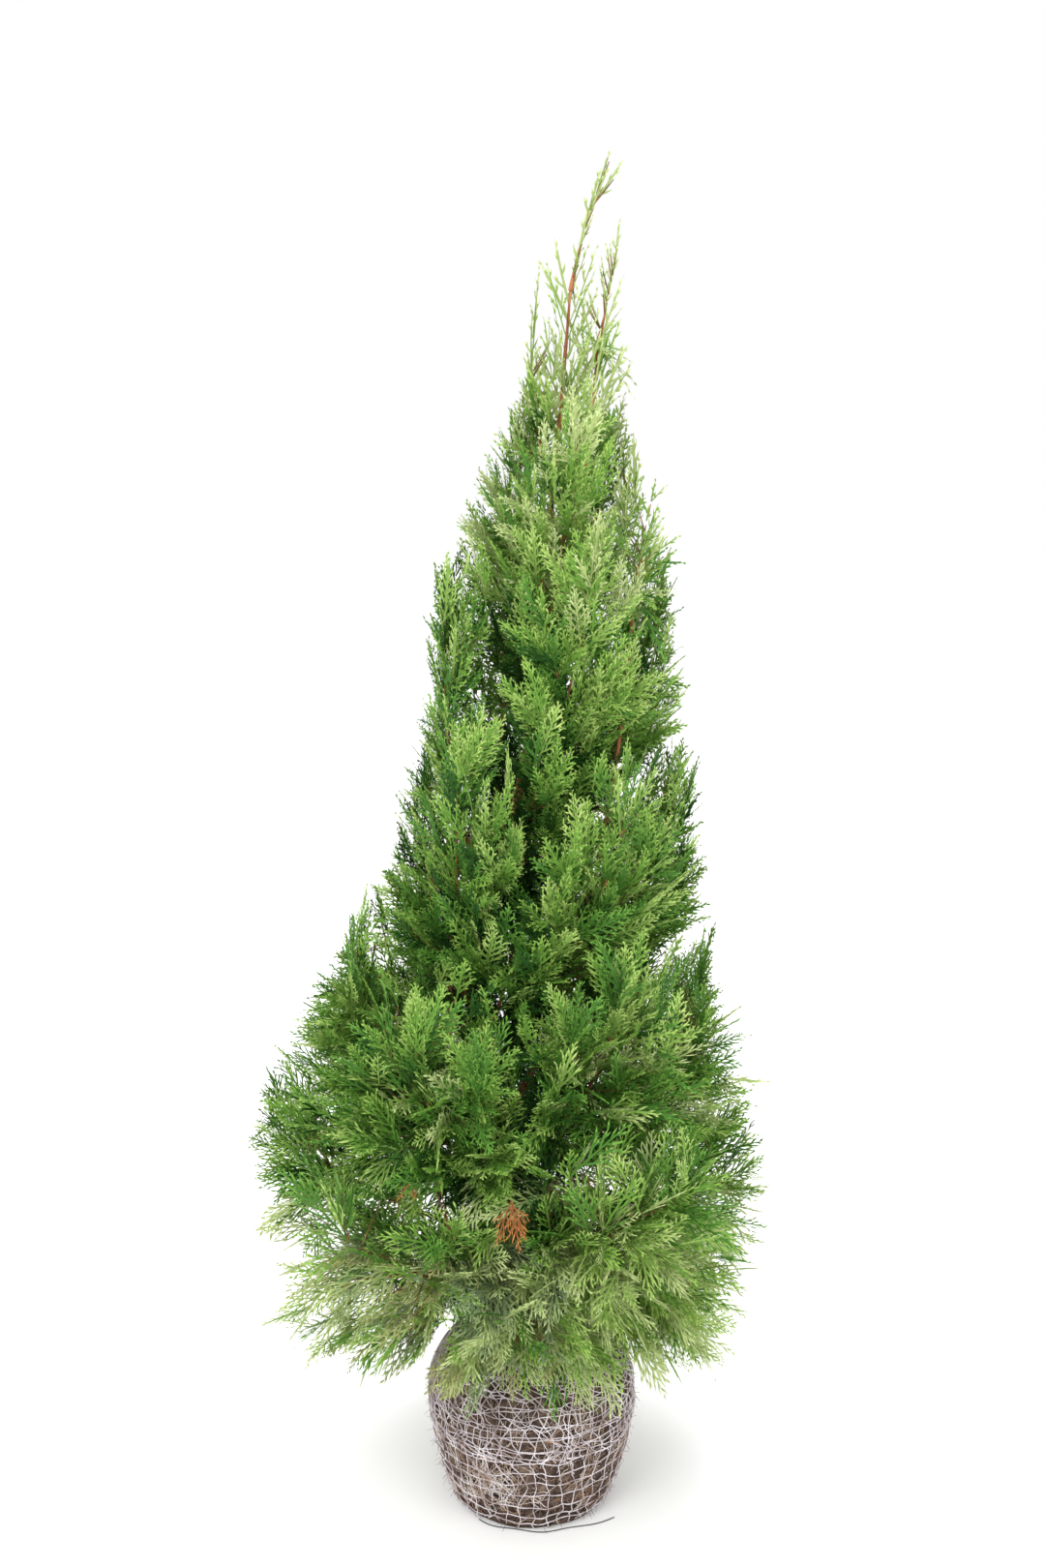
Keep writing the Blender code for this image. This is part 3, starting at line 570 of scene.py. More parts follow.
def spraysOn(limb, space, seed):
    # the solid's own sprays: a golden-angle spiral up the stem, and one that ends it
    rng = random.Random(seed)
    start = growthRule["start"]
    sprays, taken = [], []
    for number in range(limb["sprays"] - 1):
        share = start + (1 - start) * (number + 1) / limb["sprays"]
        sprays += sprayAt(limb, number, share, growthRule, rng, space, taken)
    foot = partOf(limb["path"], limb["bough"], limbRule["stemEnd"], limbRule["samples"])[-1]
    toTip = limb["path"][-1] - foot
    ways, facing = [toTip.normalized()], outward(limb["azimuth"])
    return sprays + largestSpray(foot, ways, facing, 0.0, toTip.length, 0.0, space, [], growthRule["gap"])


def finerSpraysOn(limb, space, seed):
    # more and shorter sprays between the first ones
    rng = random.Random(seed)
    count = finerRule["tuftCount"] if limb["tier"] == "tuft" else finerRule["count"]
    sprays, taken = [], []
    for number in range(count):
        share = finerRule["start"] + finerRule["span"] * (number + 0.5) / count
        sprays += sprayAt(limb, number + 0.5, share, finerRule, rng, space, taken)
    return sprays


leaders = leaderPaths()
limbs = tierLimbs() + tuftLimbs(leaders)
wood = woodOf(limbs, leaders)
for ownIndex, limb in enumerate(limbs):
    space = Space(ownIndex, limbs, wood)
    limb["blades"] = spraysOn(limb, space, growthRule["seed"] + ownIndex)
    limb["firstBlades"] = len(limb["blades"])
    limb["blades"] += finerSpraysOn(limb, space, finerRule["seed"] + ownIndex)
print("branches grown:", sum(limb["firstBlades"] for limb in limbs), "and",
      sum(len(limb["blades"]) - limb["firstBlades"] for limb in limbs), "finer")


def newTree(name, sockets):
    tree = bpy.data.node_groups.new(name, "GeometryNodeTree")
    tree.interface.new_socket(name="Geometry", in_out="INPUT", socket_type="NodeSocketGeometry")
    for label, kind in sockets:
        tree.interface.new_socket(name=label, in_out="INPUT", socket_type="NodeSocket" + kind)
    tree.interface.new_socket(name="Geometry", in_out="OUTPUT", socket_type="NodeSocketGeometry")
    return tree, tree.nodes.new("NodeGroupInput").outputs, tree.nodes.new("NodeGroupOutput").inputs


def grownMesh(name, source, tree, values):
    # runs a tree on a mesh and keeps the plain mesh that it makes
    carrier = addObject(name + "Carrier", source)
    growth = carrier.modifiers.new("growth", "NODES")
    growth.node_group = tree
    for item in tree.interface.items_tree:
        if item.in_out == "INPUT" and item.name in values:
            growth[item.identifier] = values[item.name]
    bpy.context.view_layer.update()
    graph = bpy.context.evaluated_depsgraph_get()
    made = bpy.data.meshes.new_from_object(carrier.evaluated_get(graph))
    made.name = name
    bpy.data.objects.remove(carrier)
    return addObject(name, made)


def attributeOf(tree, name, kind):
    found = addNode(tree, "GeometryNodeInputNamedAttribute", {"Name": name}, data_type=kind)
    return found.outputs["Attribute"]


def mathOf(tree, operation, *values):
    return addNode(tree, "ShaderNodeMath", dict(enumerate(values)), operation=operation).outputs[0]


def finished(tree, mesh, given, result):
    # the end that every tree of tubes has: smooth, real and in its material
    smooth = addNode(tree, "GeometryNodeSetShadeSmooth", {"Geometry": mesh})
    real = addNode(tree, "GeometryNodeRealizeInstances", {"Geometry": smooth.outputs["Geometry"]})
    done = addNode(tree, "GeometryNodeSetMaterial",
                   {"Geometry": real.outputs["Geometry"], "Material": given["Finish"]})
    tree.links.new(done.outputs["Geometry"], result["Geometry"])
    return tree


def tubeTree():
    # round tubes along the edges of a mesh, as thick as its "radius" attribute says
    tree, given, result = newTree("tubesOnEdges", (("Sides", "Int"), ("Finish", "Material")))
    curves = addNode(tree, "GeometryNodeMeshToCurve", {"Mesh": given["Geometry"]})
    ring = addNode(tree, "GeometryNodeCurvePrimitiveCircle", {"Resolution": given["Sides"], "Radius": 1.0})
    tube = addNode(tree, "GeometryNodeCurveToMesh", {
        "Curve": curves.outputs["Curve"], "Profile Curve": ring.outputs["Curve"],
        "Scale": attributeOf(tree, "radius", "FLOAT"), "Fill Caps": True})
    return finished(tree, tube.outputs["Mesh"], given, result)


def sprayTree():
    # one fan on each point, turned, sized, sagged and coloured by the point's attributes
    finishes = [(material.name, "Material") for material in leafMaterials]
    tree, given, result = newTree("fansOnPoints", (("Fans", "Collection"), *finishes))
    fans = addNode(tree, "GeometryNodeCollectionInfo",
                   {"Collection": given["Fans"], "Separate Children": True, "Reset Children": True})
    euler = attributeOf(tree, "turn", "FLOAT_VECTOR")
    turn = addNode(tree, "FunctionNodeEulerToRotation", {"Euler": euler})
    placed = addNode(tree, "GeometryNodeInstanceOnPoints", {
        "Points": given["Geometry"], "Instance": fans.outputs["Instances"], "Pick Instance": True,
        "Instance Index": attributeOf(tree, "kind", "INT"), "Rotation": turn.outputs["Rotation"],
        "Scale": attributeOf(tree, "size", "FLOAT")})
    real = addNode(tree, "GeometryNodeRealizeInstances", {"Geometry": placed.outputs["Instances"]})
    here = addNode(tree, "GeometryNodeInputPosition").outputs["Position"]
    reach = addNode(tree, "ShaderNodeVectorMath", {0: here, 1: attributeOf(tree, "root", "FLOAT_VECTOR")},
                    operation="DISTANCE").outputs["Value"]
    squared = mathOf(tree, "MULTIPLY", reach, reach)
    sag = mathOf(tree, "MULTIPLY", squared, attributeOf(tree, "sag", "FLOAT"))
    down = addNode(tree, "ShaderNodeCombineXYZ", {"Z": sag})
    sagged = addNode(tree, "GeometryNodeSetPosition",
                     {"Geometry": real.outputs["Geometry"], "Offset": down.outputs["Vector"]})
    doubled = mathOf(tree, "MULTIPLY", attributeOf(tree, "shade", "INT"), 2.0)
    finish = mathOf(tree, "ADD", doubled, attributeOf(tree, "tip", "INT"))
    geometry = sagged.outputs["Geometry"]
    for index, material in enumerate(leafMaterials):
        wanted = addNode(tree, "FunctionNodeCompare", {0: finish, 1: float(index), "Epsilon": 0.3},
                         data_type="FLOAT", operation="EQUAL")
        painted = addNode(tree, "GeometryNodeSetMaterial", {
            "Geometry": geometry, "Selection": wanted.outputs[0], "Material": given[material.name]})
        geometry = painted.outputs["Geometry"]
    tree.links.new(geometry, result["Geometry"])
    return tree


def polylineMesh(name, lines):
    # lines: [(points, radii)]; a mesh of edges with a radius at each point
    points, edges, radii = [], [], []
    for path, sizes in lines:
        first = len(points)
        points += path
        radii += [float(size) for size in sizes]
        edges += [(index, index + 1) for index in range(first, len(points) - 1)]
    mesh = meshOf(name, points, edges, [])
    mesh.attributes.new("radius", "FLOAT", "POINT").data.foreach_set("value", radii)
    return mesh


tubes = tubeTree()

# bark: trunk, leaders and boughs with relief
barkRelief = {  # furrows cut deeper than ridges stand out
    "ring": 0.0035, "trunkSides": 26, "leaderSides": 14, "boughSides": 12, "depth": 0.10, "least": 0.00025,
    "along": 42.0, "around": 1.9, "level": 0.55, "gain": 1.6, "deepest": -1.0, "highest": 0.6,
}


def barkTube(path, radii, sides, seed):
    # a closed tube whose skin is furrowed along its length
    relief = barkRelief
    length = sum((b - a).length for a, b in zip(path, path[1:]))
    count = max(4, int(length / relief["ring"]))
    centres = partOf(path, 0, 1, count)
    sizes = np.interp(np.linspace(0, 1, count + 1), np.linspace(0, 1, len(radii)), radii)
    points, faces, side = [], [], None
    for index, centre in enumerate(centres):
        heading = (centres[min(index + 1, count)] - centres[max(index - 1, 0)]).normalized()
        if side is None:
            side = heading.orthogonal()
        side = (side - side.dot(heading) * heading).normalized()
        across = heading.cross(side)
        radius = float(sizes[index])
        depth = relief["depth"] * radius + relief["least"]
        along = index * relief["ring"] * relief["along"] + seed
        for corner in range(sides):
            angle = math.tau * corner / sides
            place = Vector((relief["around"] * math.cos(angle), relief["around"] * math.sin(angle), along))
            furrow = (noise.turbulence(place, 3, False) - relief["level"]) * relief["gain"]
            out = radius + depth * max(relief["deepest"], min(relief["highest"], furrow))
            points.append(centre + (math.cos(angle) * side + math.sin(angle) * across) * out)
    for ring in range(count):
        for corner in range(sides):
            here, beside = ring * sides + corner, ring * sides + (corner + 1) % sides
            faces.append((here, beside, beside + sides, here + sides))
    faces.append(tuple(reversed(range(sides))))
    faces.append(tuple(range(len(points) - sides, len(points))))
    return points, faces


def meshPiece(name, parts, material):
    points, faces = [], []
    for morePoints, moreFaces in parts:
        first = len(points)
        points += morePoints
        faces += [tuple(first + corner for corner in face) for face in moreFaces]
    mesh = meshOf(name, points, [], faces)
    mesh.materials.append(material)
    mesh.shade_smooth()
    return addObject(name, mesh)


trunkPath, trunkRadii = leaders["trunk"]
barkTrunk = meshPiece("barkTrunk", [barkTube(trunkPath, trunkRadii, barkRelief["trunkSides"], 3.0)],
                      woodMaterials["trunkBark"])
barkLeaders = meshPiece("barkLeaders", [
    barkTube(*leaders[leader["name"]], barkRelief["leaderSides"], 11.0 + number)
    for number, leader in enumerate(leaderRule)], woodMaterials["youngBark"])
boughParts = []
for number, limb in enumerate(limbs):
    if limb["bough"]:
        bare = partOf(limb["path"], 0, limb["bough"], 8)
        boughParts.append(barkTube(bare, list(np.linspace(limbRule["boughFoot"], limbRule["stemFoot"], 9)),
                                   barkRelief["boughSides"], 20.0 + number))
barkBoughs = meshPiece("barkBoughs", boughParts, woodMaterials["oldBark"])
print("bark made")

# fans: flat sprays of scale-leaved branchlets
fanStyles = {  # spacing and lengths in metres or shares, angles in degrees
    "lacy": {
        "sizes": (0.040, 0.058, 0.078), "variants": 4, "width": 0.0019, "spacing": 0.0052, "first": 0.10,
        "branch": 0.44, "angle": 44, "sweep": 16, "subSpacing": 0.0046, "sub": 0.0085, "subAngle": 40,
        "subFrom": 0.010, "curl": 0.9, "cup": 1.6, "jitter": 7},
    "feather": {
        "sizes": (0.060, 0.090, 0.120), "variants": 4, "width": 0.0018, "spacing": 0.0068, "first": 0.10,
        "branch": 0.52, "angle": 37, "sweep": 15, "subSpacing": 0.0092, "sub": 0.0150, "subAngle": 25,
        "subFrom": 0.018, "curl": 0.6, "cup": 0.8, "jitter": 4},
    "open": {
        "sizes": (0.026, 0.040, 0.055), "variants": 4, "width": 0.0021, "spacing": 0.0075, "first": 0.22,
        "branch": 0.40, "angle": 38, "sweep": 10, "subSpacing": 0.0070, "sub": 0.0060, "subAngle": 34,
        "subFrom": 0.013, "curl": 0.5, "cup": 0.8, "jitter": 8},
    "whip": {
        "sizes": (0.050, 0.080), "variants": 5, "width": 0.0020, "spacing": 0.0120, "first": 0.24,
        "branch": 0.34, "angle": 31, "sweep": 12, "subSpacing": 0.0085, "sub": 0.0078, "subAngle": 30,
        "subFrom": 0.013, "curl": 0.6, "cup": 0.6, "jitter": 9},
}
fanForm = {  # what every style shares: angles in degrees, lengths in metres, the rest as shares
    "seed": 7, "roll": 38, "widths": (0.75, 1.0, 0.95, 0.9, 0.85),
    "curlRange": (-0.4, 1.6), "cupRange": (-0.6, 1.0), "bow": 10,
    "axisSteps": 5, "axisWidth": 1.15, "axisEnd": 0.965,
    "taper": 0.75, "footSize": 0.45, "footRise": 3.0, "sizeRange": (0.82, 1.12), "least": 0.004,
    "angleLoss": 0.25, "spacingRange": (0.8, 1.2), "spacingLoss": 0.3,
    "longFrom": 0.014, "freshFrom": 0.55,
    "subFirst": 0.9, "subEnd": 0.92, "subLoss": 0.55, "subRange": (0.7, 1.2), "subSweep": 8,
    "subWidth": 0.92, "subFresh": 0.35, "allFresh": 0.5,
}


class FanShape:  # collects ribbons: x forward, y sideways, z off the flat
    def __init__(self, rng, style, length):
        self.rng, self.style, self.length = rng, style, length
        self.curlSign, self.cupSign = rng.uniform(*fanForm["curlRange"]), rng.uniform(*fanForm["cupRange"])
        self.points, self.faces, self.tips = [], [], []

    def ribbon(self, path, widths, tip):
        # a flat strip that ends in a point, rolled a little about its own length
        first = len(self.points)
        roll = math.radians(self.rng.uniform(-fanForm["roll"], fanForm["roll"]))
        for index, here in enumerate(path[:-1]):
            heading = (path[index + 1] - here).normalized()
            flat = Vector((-heading.y, heading.x, 0)).normalized()
            across = math.cos(roll) * flat + math.sin(roll) * upward(1)
            self.points += [here + across * widths[index] / 2, here - across * widths[index] / 2]
        self.points.append(path[-1])
        last = len(path) - 2
        for step in range(last):
            base = first + 2 * step
            self.faces.append((base, base + 1, base + 3, base + 2))
            self.tips.append(tip and step > 0)
        self.faces.append((first + 2 * last, first + 2 * last + 1, first + 2 * last + 2))
        self.tips.append(tip or last > 1)

    def lift(self, point):
        # the fan's own curl and cup
        curl, cup = self.style["curl"] * self.curlSign, self.style["cup"] * self.cupSign
        return Vector((point.x, point.y, curl * point.x**2 + cup * point.y**2))

    def strip(self, start, angle, length, sweep, count, width, tip):
        # a ribbon along a path that turns by the sweep, and that path before its lift
        path = [start]
        for step in range(count):
            turned = math.radians(angle - sweep * (step + 0.5) / count)
            path.append(path[-1] + Vector((math.cos(turned), math.sin(turned), 0)) * length / count)
        lifted = [self.lift(point) for point in path]
        widths = [width * share for share in fanForm["widths"]][:count]
        self.ribbon(lifted, widths, tip)
        return path

    def build(self):
        # the axis, then branchlets on alternate sides of it
        rng, style, form, length = self.rng, self.style, fanForm, self.length
        bow = rng.uniform(-form["bow"], form["bow"])
        steps = form["axisSteps"]
        axis = self.strip(upward(0), bow / 2, length, bow, steps, style["width"] * form["axisWidth"], False)
        reach = style["first"] * length
        hand = rng.choice((-1, 1))
        while reach < form["axisEnd"] * length:
            share = reach / length
            step = min(int(share * steps), steps - 1)
            start = axis[step].lerp(axis[step + 1], share * steps - step)
            local = bow / 2 - bow * share
            full = style["branch"] * length * (1 - share) ** form["taper"]
            size = full * min(1.0, form["footSize"] + form["footRise"] * share)
            size = max(size * rng.uniform(*form["sizeRange"]), form["least"])
            angle = style["angle"] * (1 - form["angleLoss"] * share)
            angle += rng.uniform(-style["jitter"], style["jitter"])
            self.branchlet(start, local, hand, angle, size, share)
            hand = -hand
            gap = style["spacing"] * rng.uniform(*form["spacingRange"])
            reach += gap * (1 - form["spacingLoss"] * share)
        return self

    def branchlet(self, start, local, hand, angle, size, share):
        # one strip, with its own smaller strips where it is long enough
        style, form, rng = self.style, fanForm, self.rng
        count = 3 if size > form["longFrom"] else 2
        path = self.strip(start, local + hand * angle, size, hand * style["sweep"], count, style["width"],
                          share > form["freshFrom"])
        if size < style["subFrom"]:
            return
        at, side = style["subSpacing"] * form["subFirst"], -hand
        while at < size * form["subEnd"]:
            part = at / size
            step = min(int(part * count), count - 1)
            begin = path[step].lerp(path[step + 1], part * count - step)
            heading = local + hand * (angle - style["sweep"] * part) + side * style["subAngle"]
            subSize = style["sub"] * (1 - form["subLoss"] * part) * rng.uniform(*form["subRange"])
            fresh = part > form["subFresh"] or share > form["allFresh"]
            width = style["width"] * form["subWidth"]
            self.strip(begin, heading, subSize, side * form["subSweep"], 2, width, fresh)
            side = -side
            at += style["subSpacing"] * rng.uniform(*form["spacingRange"])


def makeFans():
    # every style in its sizes and variants, as shapes and as their numbers in the collection
    shapes = bpy.data.collections.new("fanShapes")
    index = {}
    rng = random.Random(fanForm["seed"])
    for styleName, style in fanStyles.items():
        for sizeNumber, size in enumerate(style["sizes"]):
            for variant in range(style["variants"]):
                fan = FanShape(rng, style, size).build()
                name = f"fan{len(index):03d}"
                mesh = meshOf(name, fan.points, [], fan.faces)
                tips = [int(tip) for tip in fan.tips]
                mesh.attributes.new("tip", "INT", "FACE").data.foreach_set("value", tips)
                shapes.objects.link(bpy.data.objects.new(name, mesh))
                index[styleName, sizeNumber, variant] = len(index)
                if variant == 0:
                    triangles = sum(len(face) - 2 for face in fan.faces)
                    print(f"  {styleName} {size * 1000:.0f} mm: {triangles} triangles")
    return shapes, index


fanShapes, fanIndex = makeFans()

# where the fans stand on their branches
fanPlacing = {  # lengths in metres, angles in degrees, the rest as shares of the branch
    "first": 0.13, "angle": 40, "angleRange": 9, "tiltRange": 24, "rollRange": 34,
    "lowBelow": 0.47,
    "low": (0.0230, 0.74, 0.046), "rest": (0.0135, 0.54, 0.022),  # spacing, size, least size
    "last": 0.80, "lastSize": 0.22, "ahead": 0.05,
    "foot": 0.55, "rise": 1.6, "fall": 1.55, "fallPower": 0.8,
    "sizeRange": (0.9, 1.1), "spacingRange": (0.85, 1.15),
}

shadeRule = {
    "lightShadePatch": 19.0, "lightShadePatchShare": 0.34,  # how fine and how strong the painted patches of light and shade are, as if whole branches were lit or shaded
    "lowDeeper": 0.34,  # low down the crown is open, so the painted shade starts further in
    "rightFrom": 0.02, "rightPaler": 0.13,  # the right side takes more of the paler greens
    "zones": (  # first that fits: lowest height, least depth, then shades up to each share
        (1.13, -9.0, (("fresh", 0.16), ("sunlit", 0.40), ("pale", 1.0))),
        (0.95, -9.0, (("deep", 0.06), ("mid", 0.20), ("fresh", 0.52), ("sunlit", 0.84), ("pale", 1.0))),
        # painted shade: the further into the crown a spray sits, the darker its green; near the surface the
        # greens are lighter
        (0.00, 0.52, (("deep", 0.84), ("mid", 1.0))),
        (0.00, 0.26, (("deep", 0.46), ("mid", 0.82), ("fresh", 1.0))),
        (0.55, -9.0, (("deep", 0.12), ("mid", 0.42), ("fresh", 0.80), ("sunlit", 1.0))),
        (0.37, -9.0, (("deep", 0.10), ("mid", 0.40), ("fresh", 0.74), ("sunlit", 0.95), ("pale", 1.0))),
        (0.00, -9.0, (("mid", 0.14), ("fresh", 0.30), ("sunlit", 0.52), ("pale", 1.0)))),
    # the greyed sprays at the lower left, but not deep inside
    "greyBelow": 0.37, "greyLeftOf": 0.03, "greyDepth": 0.62,
    "grey": (("mid", 0.08), ("olive", 0.22), ("fresh", 0.36), ("grey", 0.60), ("pale", 1.0)),
}


def shadeAt(point, rng):
    # which green a spray takes, from its height, its depth in the crown (darker further in, as painted
    # shade), its side and its patch
    middle, width = crownAt(point.z)
    depth = 1 - math.hypot(point.x - middle, point.y) / width
    rule = shadeRule
    # painted light and shade: noise lightens some patches of sprays and darkens others
    draw = rng.random() + rule["lightShadePatchShare"] * noise.noise(point * rule["lightShadePatch"])
    draw += rule["rightPaler"] if point.x > rule["rightFrom"] else 0.0
    low = point.z < rule["greyBelow"]
    for lowest, least, shades in rule["zones"]:
        if point.z > lowest and depth > least + (rule["lowDeeper"] if low else 0):
            break
    if low and point.x < rule["greyLeftOf"] and depth < rule["greyDepth"]:
        shades = rule["grey"]
    return next((shade for shade, upTo in shades if draw < upTo), shades[-1][0])


styleRule = {"feather": 0.40, "mixed": 0.55, "change": 0.15}  # heights in metres


def styleAt(height, tier, rng):
    # feathery fans low down, lacy ones above, open ones on the tufts and long ones at the top
    if height > topRule["from"]:
        return "whip"
    if tier == "tuft":
        return "open"
    if height < styleRule["feather"]:
        return "feather"
    if height < styleRule["mixed"] and rng.random() < (styleRule["mixed"] - height) / styleRule["change"]:
        return "feather"
    return "lacy"


def fansOn(blade, rng):
    # alternate fans along a branch, longest near its middle, and one that ends it
    rule, length, way = fanPlacing, blade["length"], blade["way"]
    side = way.cross(blade["face"]).normalized()
    face = side.cross(way).normalized()

    def axisAt(share):
        return blade["root"] + length * share * way + upward(-blade["droop"] * length * share**2)

    fans = []
    spacing, sideShare, least = rule["low" if blade["root"].z < rule["lowBelow"] else "rest"]
    reach, hand = rule["first"] * length, rng.choice((-1, 1))
    while True:
        share = min(reach / length, 1.0)
        last = share > rule["last"]
        root = axisAt(min(share, rule["last"]))
        heading = (axisAt(share + rule["ahead"]) - axisAt(share)).normalized()
        if last:
            size, angle = length * rule["lastSize"], 0.0
        else:
            fall = rule["fall"] * (1 - share) ** rule["fallPower"]
            size = length * sideShare * min(1.0, rule["foot"] + rule["rise"] * share, fall)
            angle = math.radians(rule["angle"] + rng.uniform(-1, 1) * rule["angleRange"])
        size = max(size * rng.uniform(*rule["sizeRange"]), least)
        tilt = math.radians(rng.uniform(-1, 1) * rule["tiltRange"])
        fanWay = math.cos(angle) * heading + math.sin(angle) * hand * side
        fanWay = (math.cos(tilt) * fanWay + math.sin(tilt) * face).normalized()
        roll = math.radians(rng.uniform(-1, 1) * rule["rollRange"])
        flat = (face - face.dot(fanWay) * fanWay).normalized()
        normal = math.cos(roll) * flat + math.sin(roll) * fanWay.cross(flat)
        fans.append((root, fanWay, normal, size))
        if last:
            return fans
        hand = -hand
        reach += spacing * rng.uniform(*rule["spacingRange"])


def fanPoints(name, rows):
    # a mesh of points that carries each fan's place, turn, size, kind, sag and shade
    mesh = meshOf(name, [row["root"] for row in rows], [], [])
    for key, kind, field in (("turn", "FLOAT_VECTOR", "vector"), ("root", "FLOAT_VECTOR", "vector"),
                             ("size", "FLOAT", "value"), ("sag", "FLOAT", "value"),
                             ("kind", "INT", "value"), ("shade", "INT", "value")):
        values = [row[key] for row in rows]
        flat = [part for value in values for part in value] if field == "vector" else values
        mesh.attributes.new(key, kind, "POINT").data.foreach_set(field, flat)
    return mesh


fanHang = {
    "sags": ((0.32, 2.2), (0.60, 0.8)),  # below which height, how far
    "uprightFrom": 1.14, "upright": 0.2, "tries": 8,
    "raise": 0.22, "sagLeft": 0.8,  # for one under the hem, then for one past the solids' box
    "shorter": 0.88, "edge": 0.004, "topEdge": 0.001, "widest": 0.55, "halfWidth": 0.36,
    "shadeFrom": 0.7,
}


def fanTip(root, way, size, sag):
    return root + way * size - upward(sag * size**2)


def staysInBox(root, way, normal, size, sag):
    # the tip and both sides of a fan, tested against the solids' box
    hang = fanHang
    side = normal.cross(way).normalized() * hang["halfWidth"] * size
    middle = fanTip(root, way, size * hang["widest"], sag)
    tip, edge = fanTip(root, way, size, sag), hang["edge"]
    return tip.z < cadBox[1][2] - hang["topEdge"] and all(
        cadBox[0][axis] + edge < point[axis] < cadBox[1][axis] - edge
        for point in (tip, middle + side, middle - side) for axis in (0, 1))


def rowFor(root, way, normal, size, tier, rng):
    # one fan as the values of its point, kept over the hem and in the solids' box
    hem = hemRule
    hang = fanHang
    style = styleAt(root.z, tier, rng)
    sizes = fanStyles[style]["sizes"]
    pick = min(range(len(sizes)), key=lambda index: abs(sizes[index] - size))
    sag = next((value for below, value in hang["sags"] if root.z < below), 0.0)
    if root.z > hang["uprightFrom"]:
        way = (way + upward(hang["upright"])).normalized()
    under = rng.gauss(0, hem["stray"])
    if root.y < 0 and abs(root.x) < hem["middleHalf"]:
        under += hem["middleReach"]
    if rng.random() < hem["droopShare"]:
        under += hem["droopReach"]
    for _ in range(hang["tries"]):
        tip = fanTip(root, way, size, sag)
        if tip.z > hemAt(tip) - under:
            break
        way = (way + upward(hang["raise"])).normalized()
        sag *= hang["sagLeft"]
    for _ in range(hang["tries"]):
        if staysInBox(root, way, normal, size, sag):
            break
        size *= hang["shorter"]
    else:
        return None
    normal = (normal - normal.dot(way) * way).normalized()
    turn = Matrix((way, normal.cross(way), normal)).transposed().to_euler()
    kind = fanIndex[style, pick, rng.randrange(fanStyles[style]["variants"])]
    shade = shadeAt(root + way * size * hang["shadeFrom"], rng)
    return {"root": root, "turn": tuple(turn), "size": size / sizes[pick], "kind": kind, "sag": -sag,
            "shade": shadeNames.index(shade)}


topRule = {  # long sparse shoots where the crown opens to the sky
    "from": 1.125, "seed": 41, "spacing": 0.0080, "size": (0.048, 0.088), "angle": 26, "angleRange": 9,
    "sideRange": 55, "rollRange": 50,
    "stems": (("trunk", 1.10, 1.242), ("second_leader", 1.06, 1.190)),
    # up a tuft's stem: where, and how long as a share of the stem
    "ends": ((0.10, 0.46), (0.25, 0.40), (0.42, 0.42), (0.56, 0.34), (0.70, 0.36)), "ahead": 0.25,
    "bladeScale": 1.15, "woodEnd": 0.30, "spacingRange": (0.8, 1.2),
}


def tuftShoots(limb, rng):
    # one long shoot for each branch, and the green end of the stem as shoots one above the other
    shoots = [(blade["root"], blade["way"], blade["face"], blade["length"] * topRule["bladeScale"])
              for blade in limb["blades"]]
    path = limb["path"]
    length = sum((b - a).length for a, b in zip(path, path[1:]))
    for share, size in topRule["ends"]:
        root, ahead = partOf(path, share, min(share + topRule["ahead"], 1.0), 1)
        way = (ahead - root).normalized()
        shoots.append((root, way, way.cross(outward(rng.uniform(0, 360))).normalized(), size * length))
    return shoots


def opensAt(point):
    # where light comes through the crown's lower left
    rule = fillRule
    return point.z < rule["openBelow"] and point.x < rule["openFrom"][0] and point.y < rule["openFront"]


def keptRows(fans, tier, rng):
    return [row for row in (rowFor(*fan, tier, rng) for fan in fans) if row]


def fanRows(limb, seed):
    # the fans of one mass's own branches
    rng = random.Random(seed)
    if limb["path"][0].z > topRule["stems"][1][1] and limb["tier"] == "tuft":
        fans = tuftShoots(limb, rng)
    else:
        fans = [fan for blade in limb["blades"] for fan in fansOn(blade, rng)
                if not (opensAt(fan[0]) and rng.random() < fillRule["openFans"])]
    return keptRows(fans, limb["tier"], rng)


deadRule = {  # where each hangs from, and its length
    "seed": 5, "fans": 3, "spread": 0.8, "out": -0.45, "facing": (0, -1, 0.2), "sizeRange": (0.7, 1.1),
    "sprays": (
        ((-0.020, -0.222, 0.424), 0.044),
        ((-0.112, -0.206, 0.434), 0.020),
        ((0.004, -0.150, 0.268), 0.028)),
}


def deadRows():
    # a few dead sprays that hang in the crown's front
    rule = deadRule
    rng = random.Random(rule["seed"])
    rows = []
    for place, size in rule["sprays"]:
        for _ in range(rule["fans"]):
            way = Vector((rng.uniform(-1, 1) * rule["spread"], rule["out"], -1)).normalized()
            length = size * rng.uniform(*rule["sizeRange"])
            row = rowFor(Vector(place), way, Vector(rule["facing"]), length, "skirt", rng)
            rows.append({**row, "shade": shadeNames.index("rust")})
    return rows


def stemShoots():
    # shoots to the left and right of the upper stems, in turn
    rule = topRule
    rng = random.Random(rule["seed"])
    shoots = []
    for name, lowest, highest in rule["stems"]:
        columns = list(zip(*leaders[name][0]))
        number, height = 0, lowest
        while height < highest:
            root = Vector([float(np.interp(height, columns[2], column)) for column in columns])
            side = outward(180 * (number % 2) + rng.uniform(-1, 1) * rule["sideRange"])
            angle = math.radians(rule["angle"] + rng.uniform(-1, 1) * rule["angleRange"])
            way = math.sin(angle) * side + math.cos(angle) * upward(1)
            roll = math.radians(rng.uniform(-1, 1) * rule["rollRange"])
            flat = math.cos(angle) * side - math.sin(angle) * upward(1)
            normal = math.cos(roll) * way.cross(flat) + math.sin(roll) * flat
            shoots.append((root, way, normal, rng.uniform(*rule["size"])))
            number += 1
            height += rule["spacing"] * rng.uniform(*rule["spacingRange"])
    return shoots


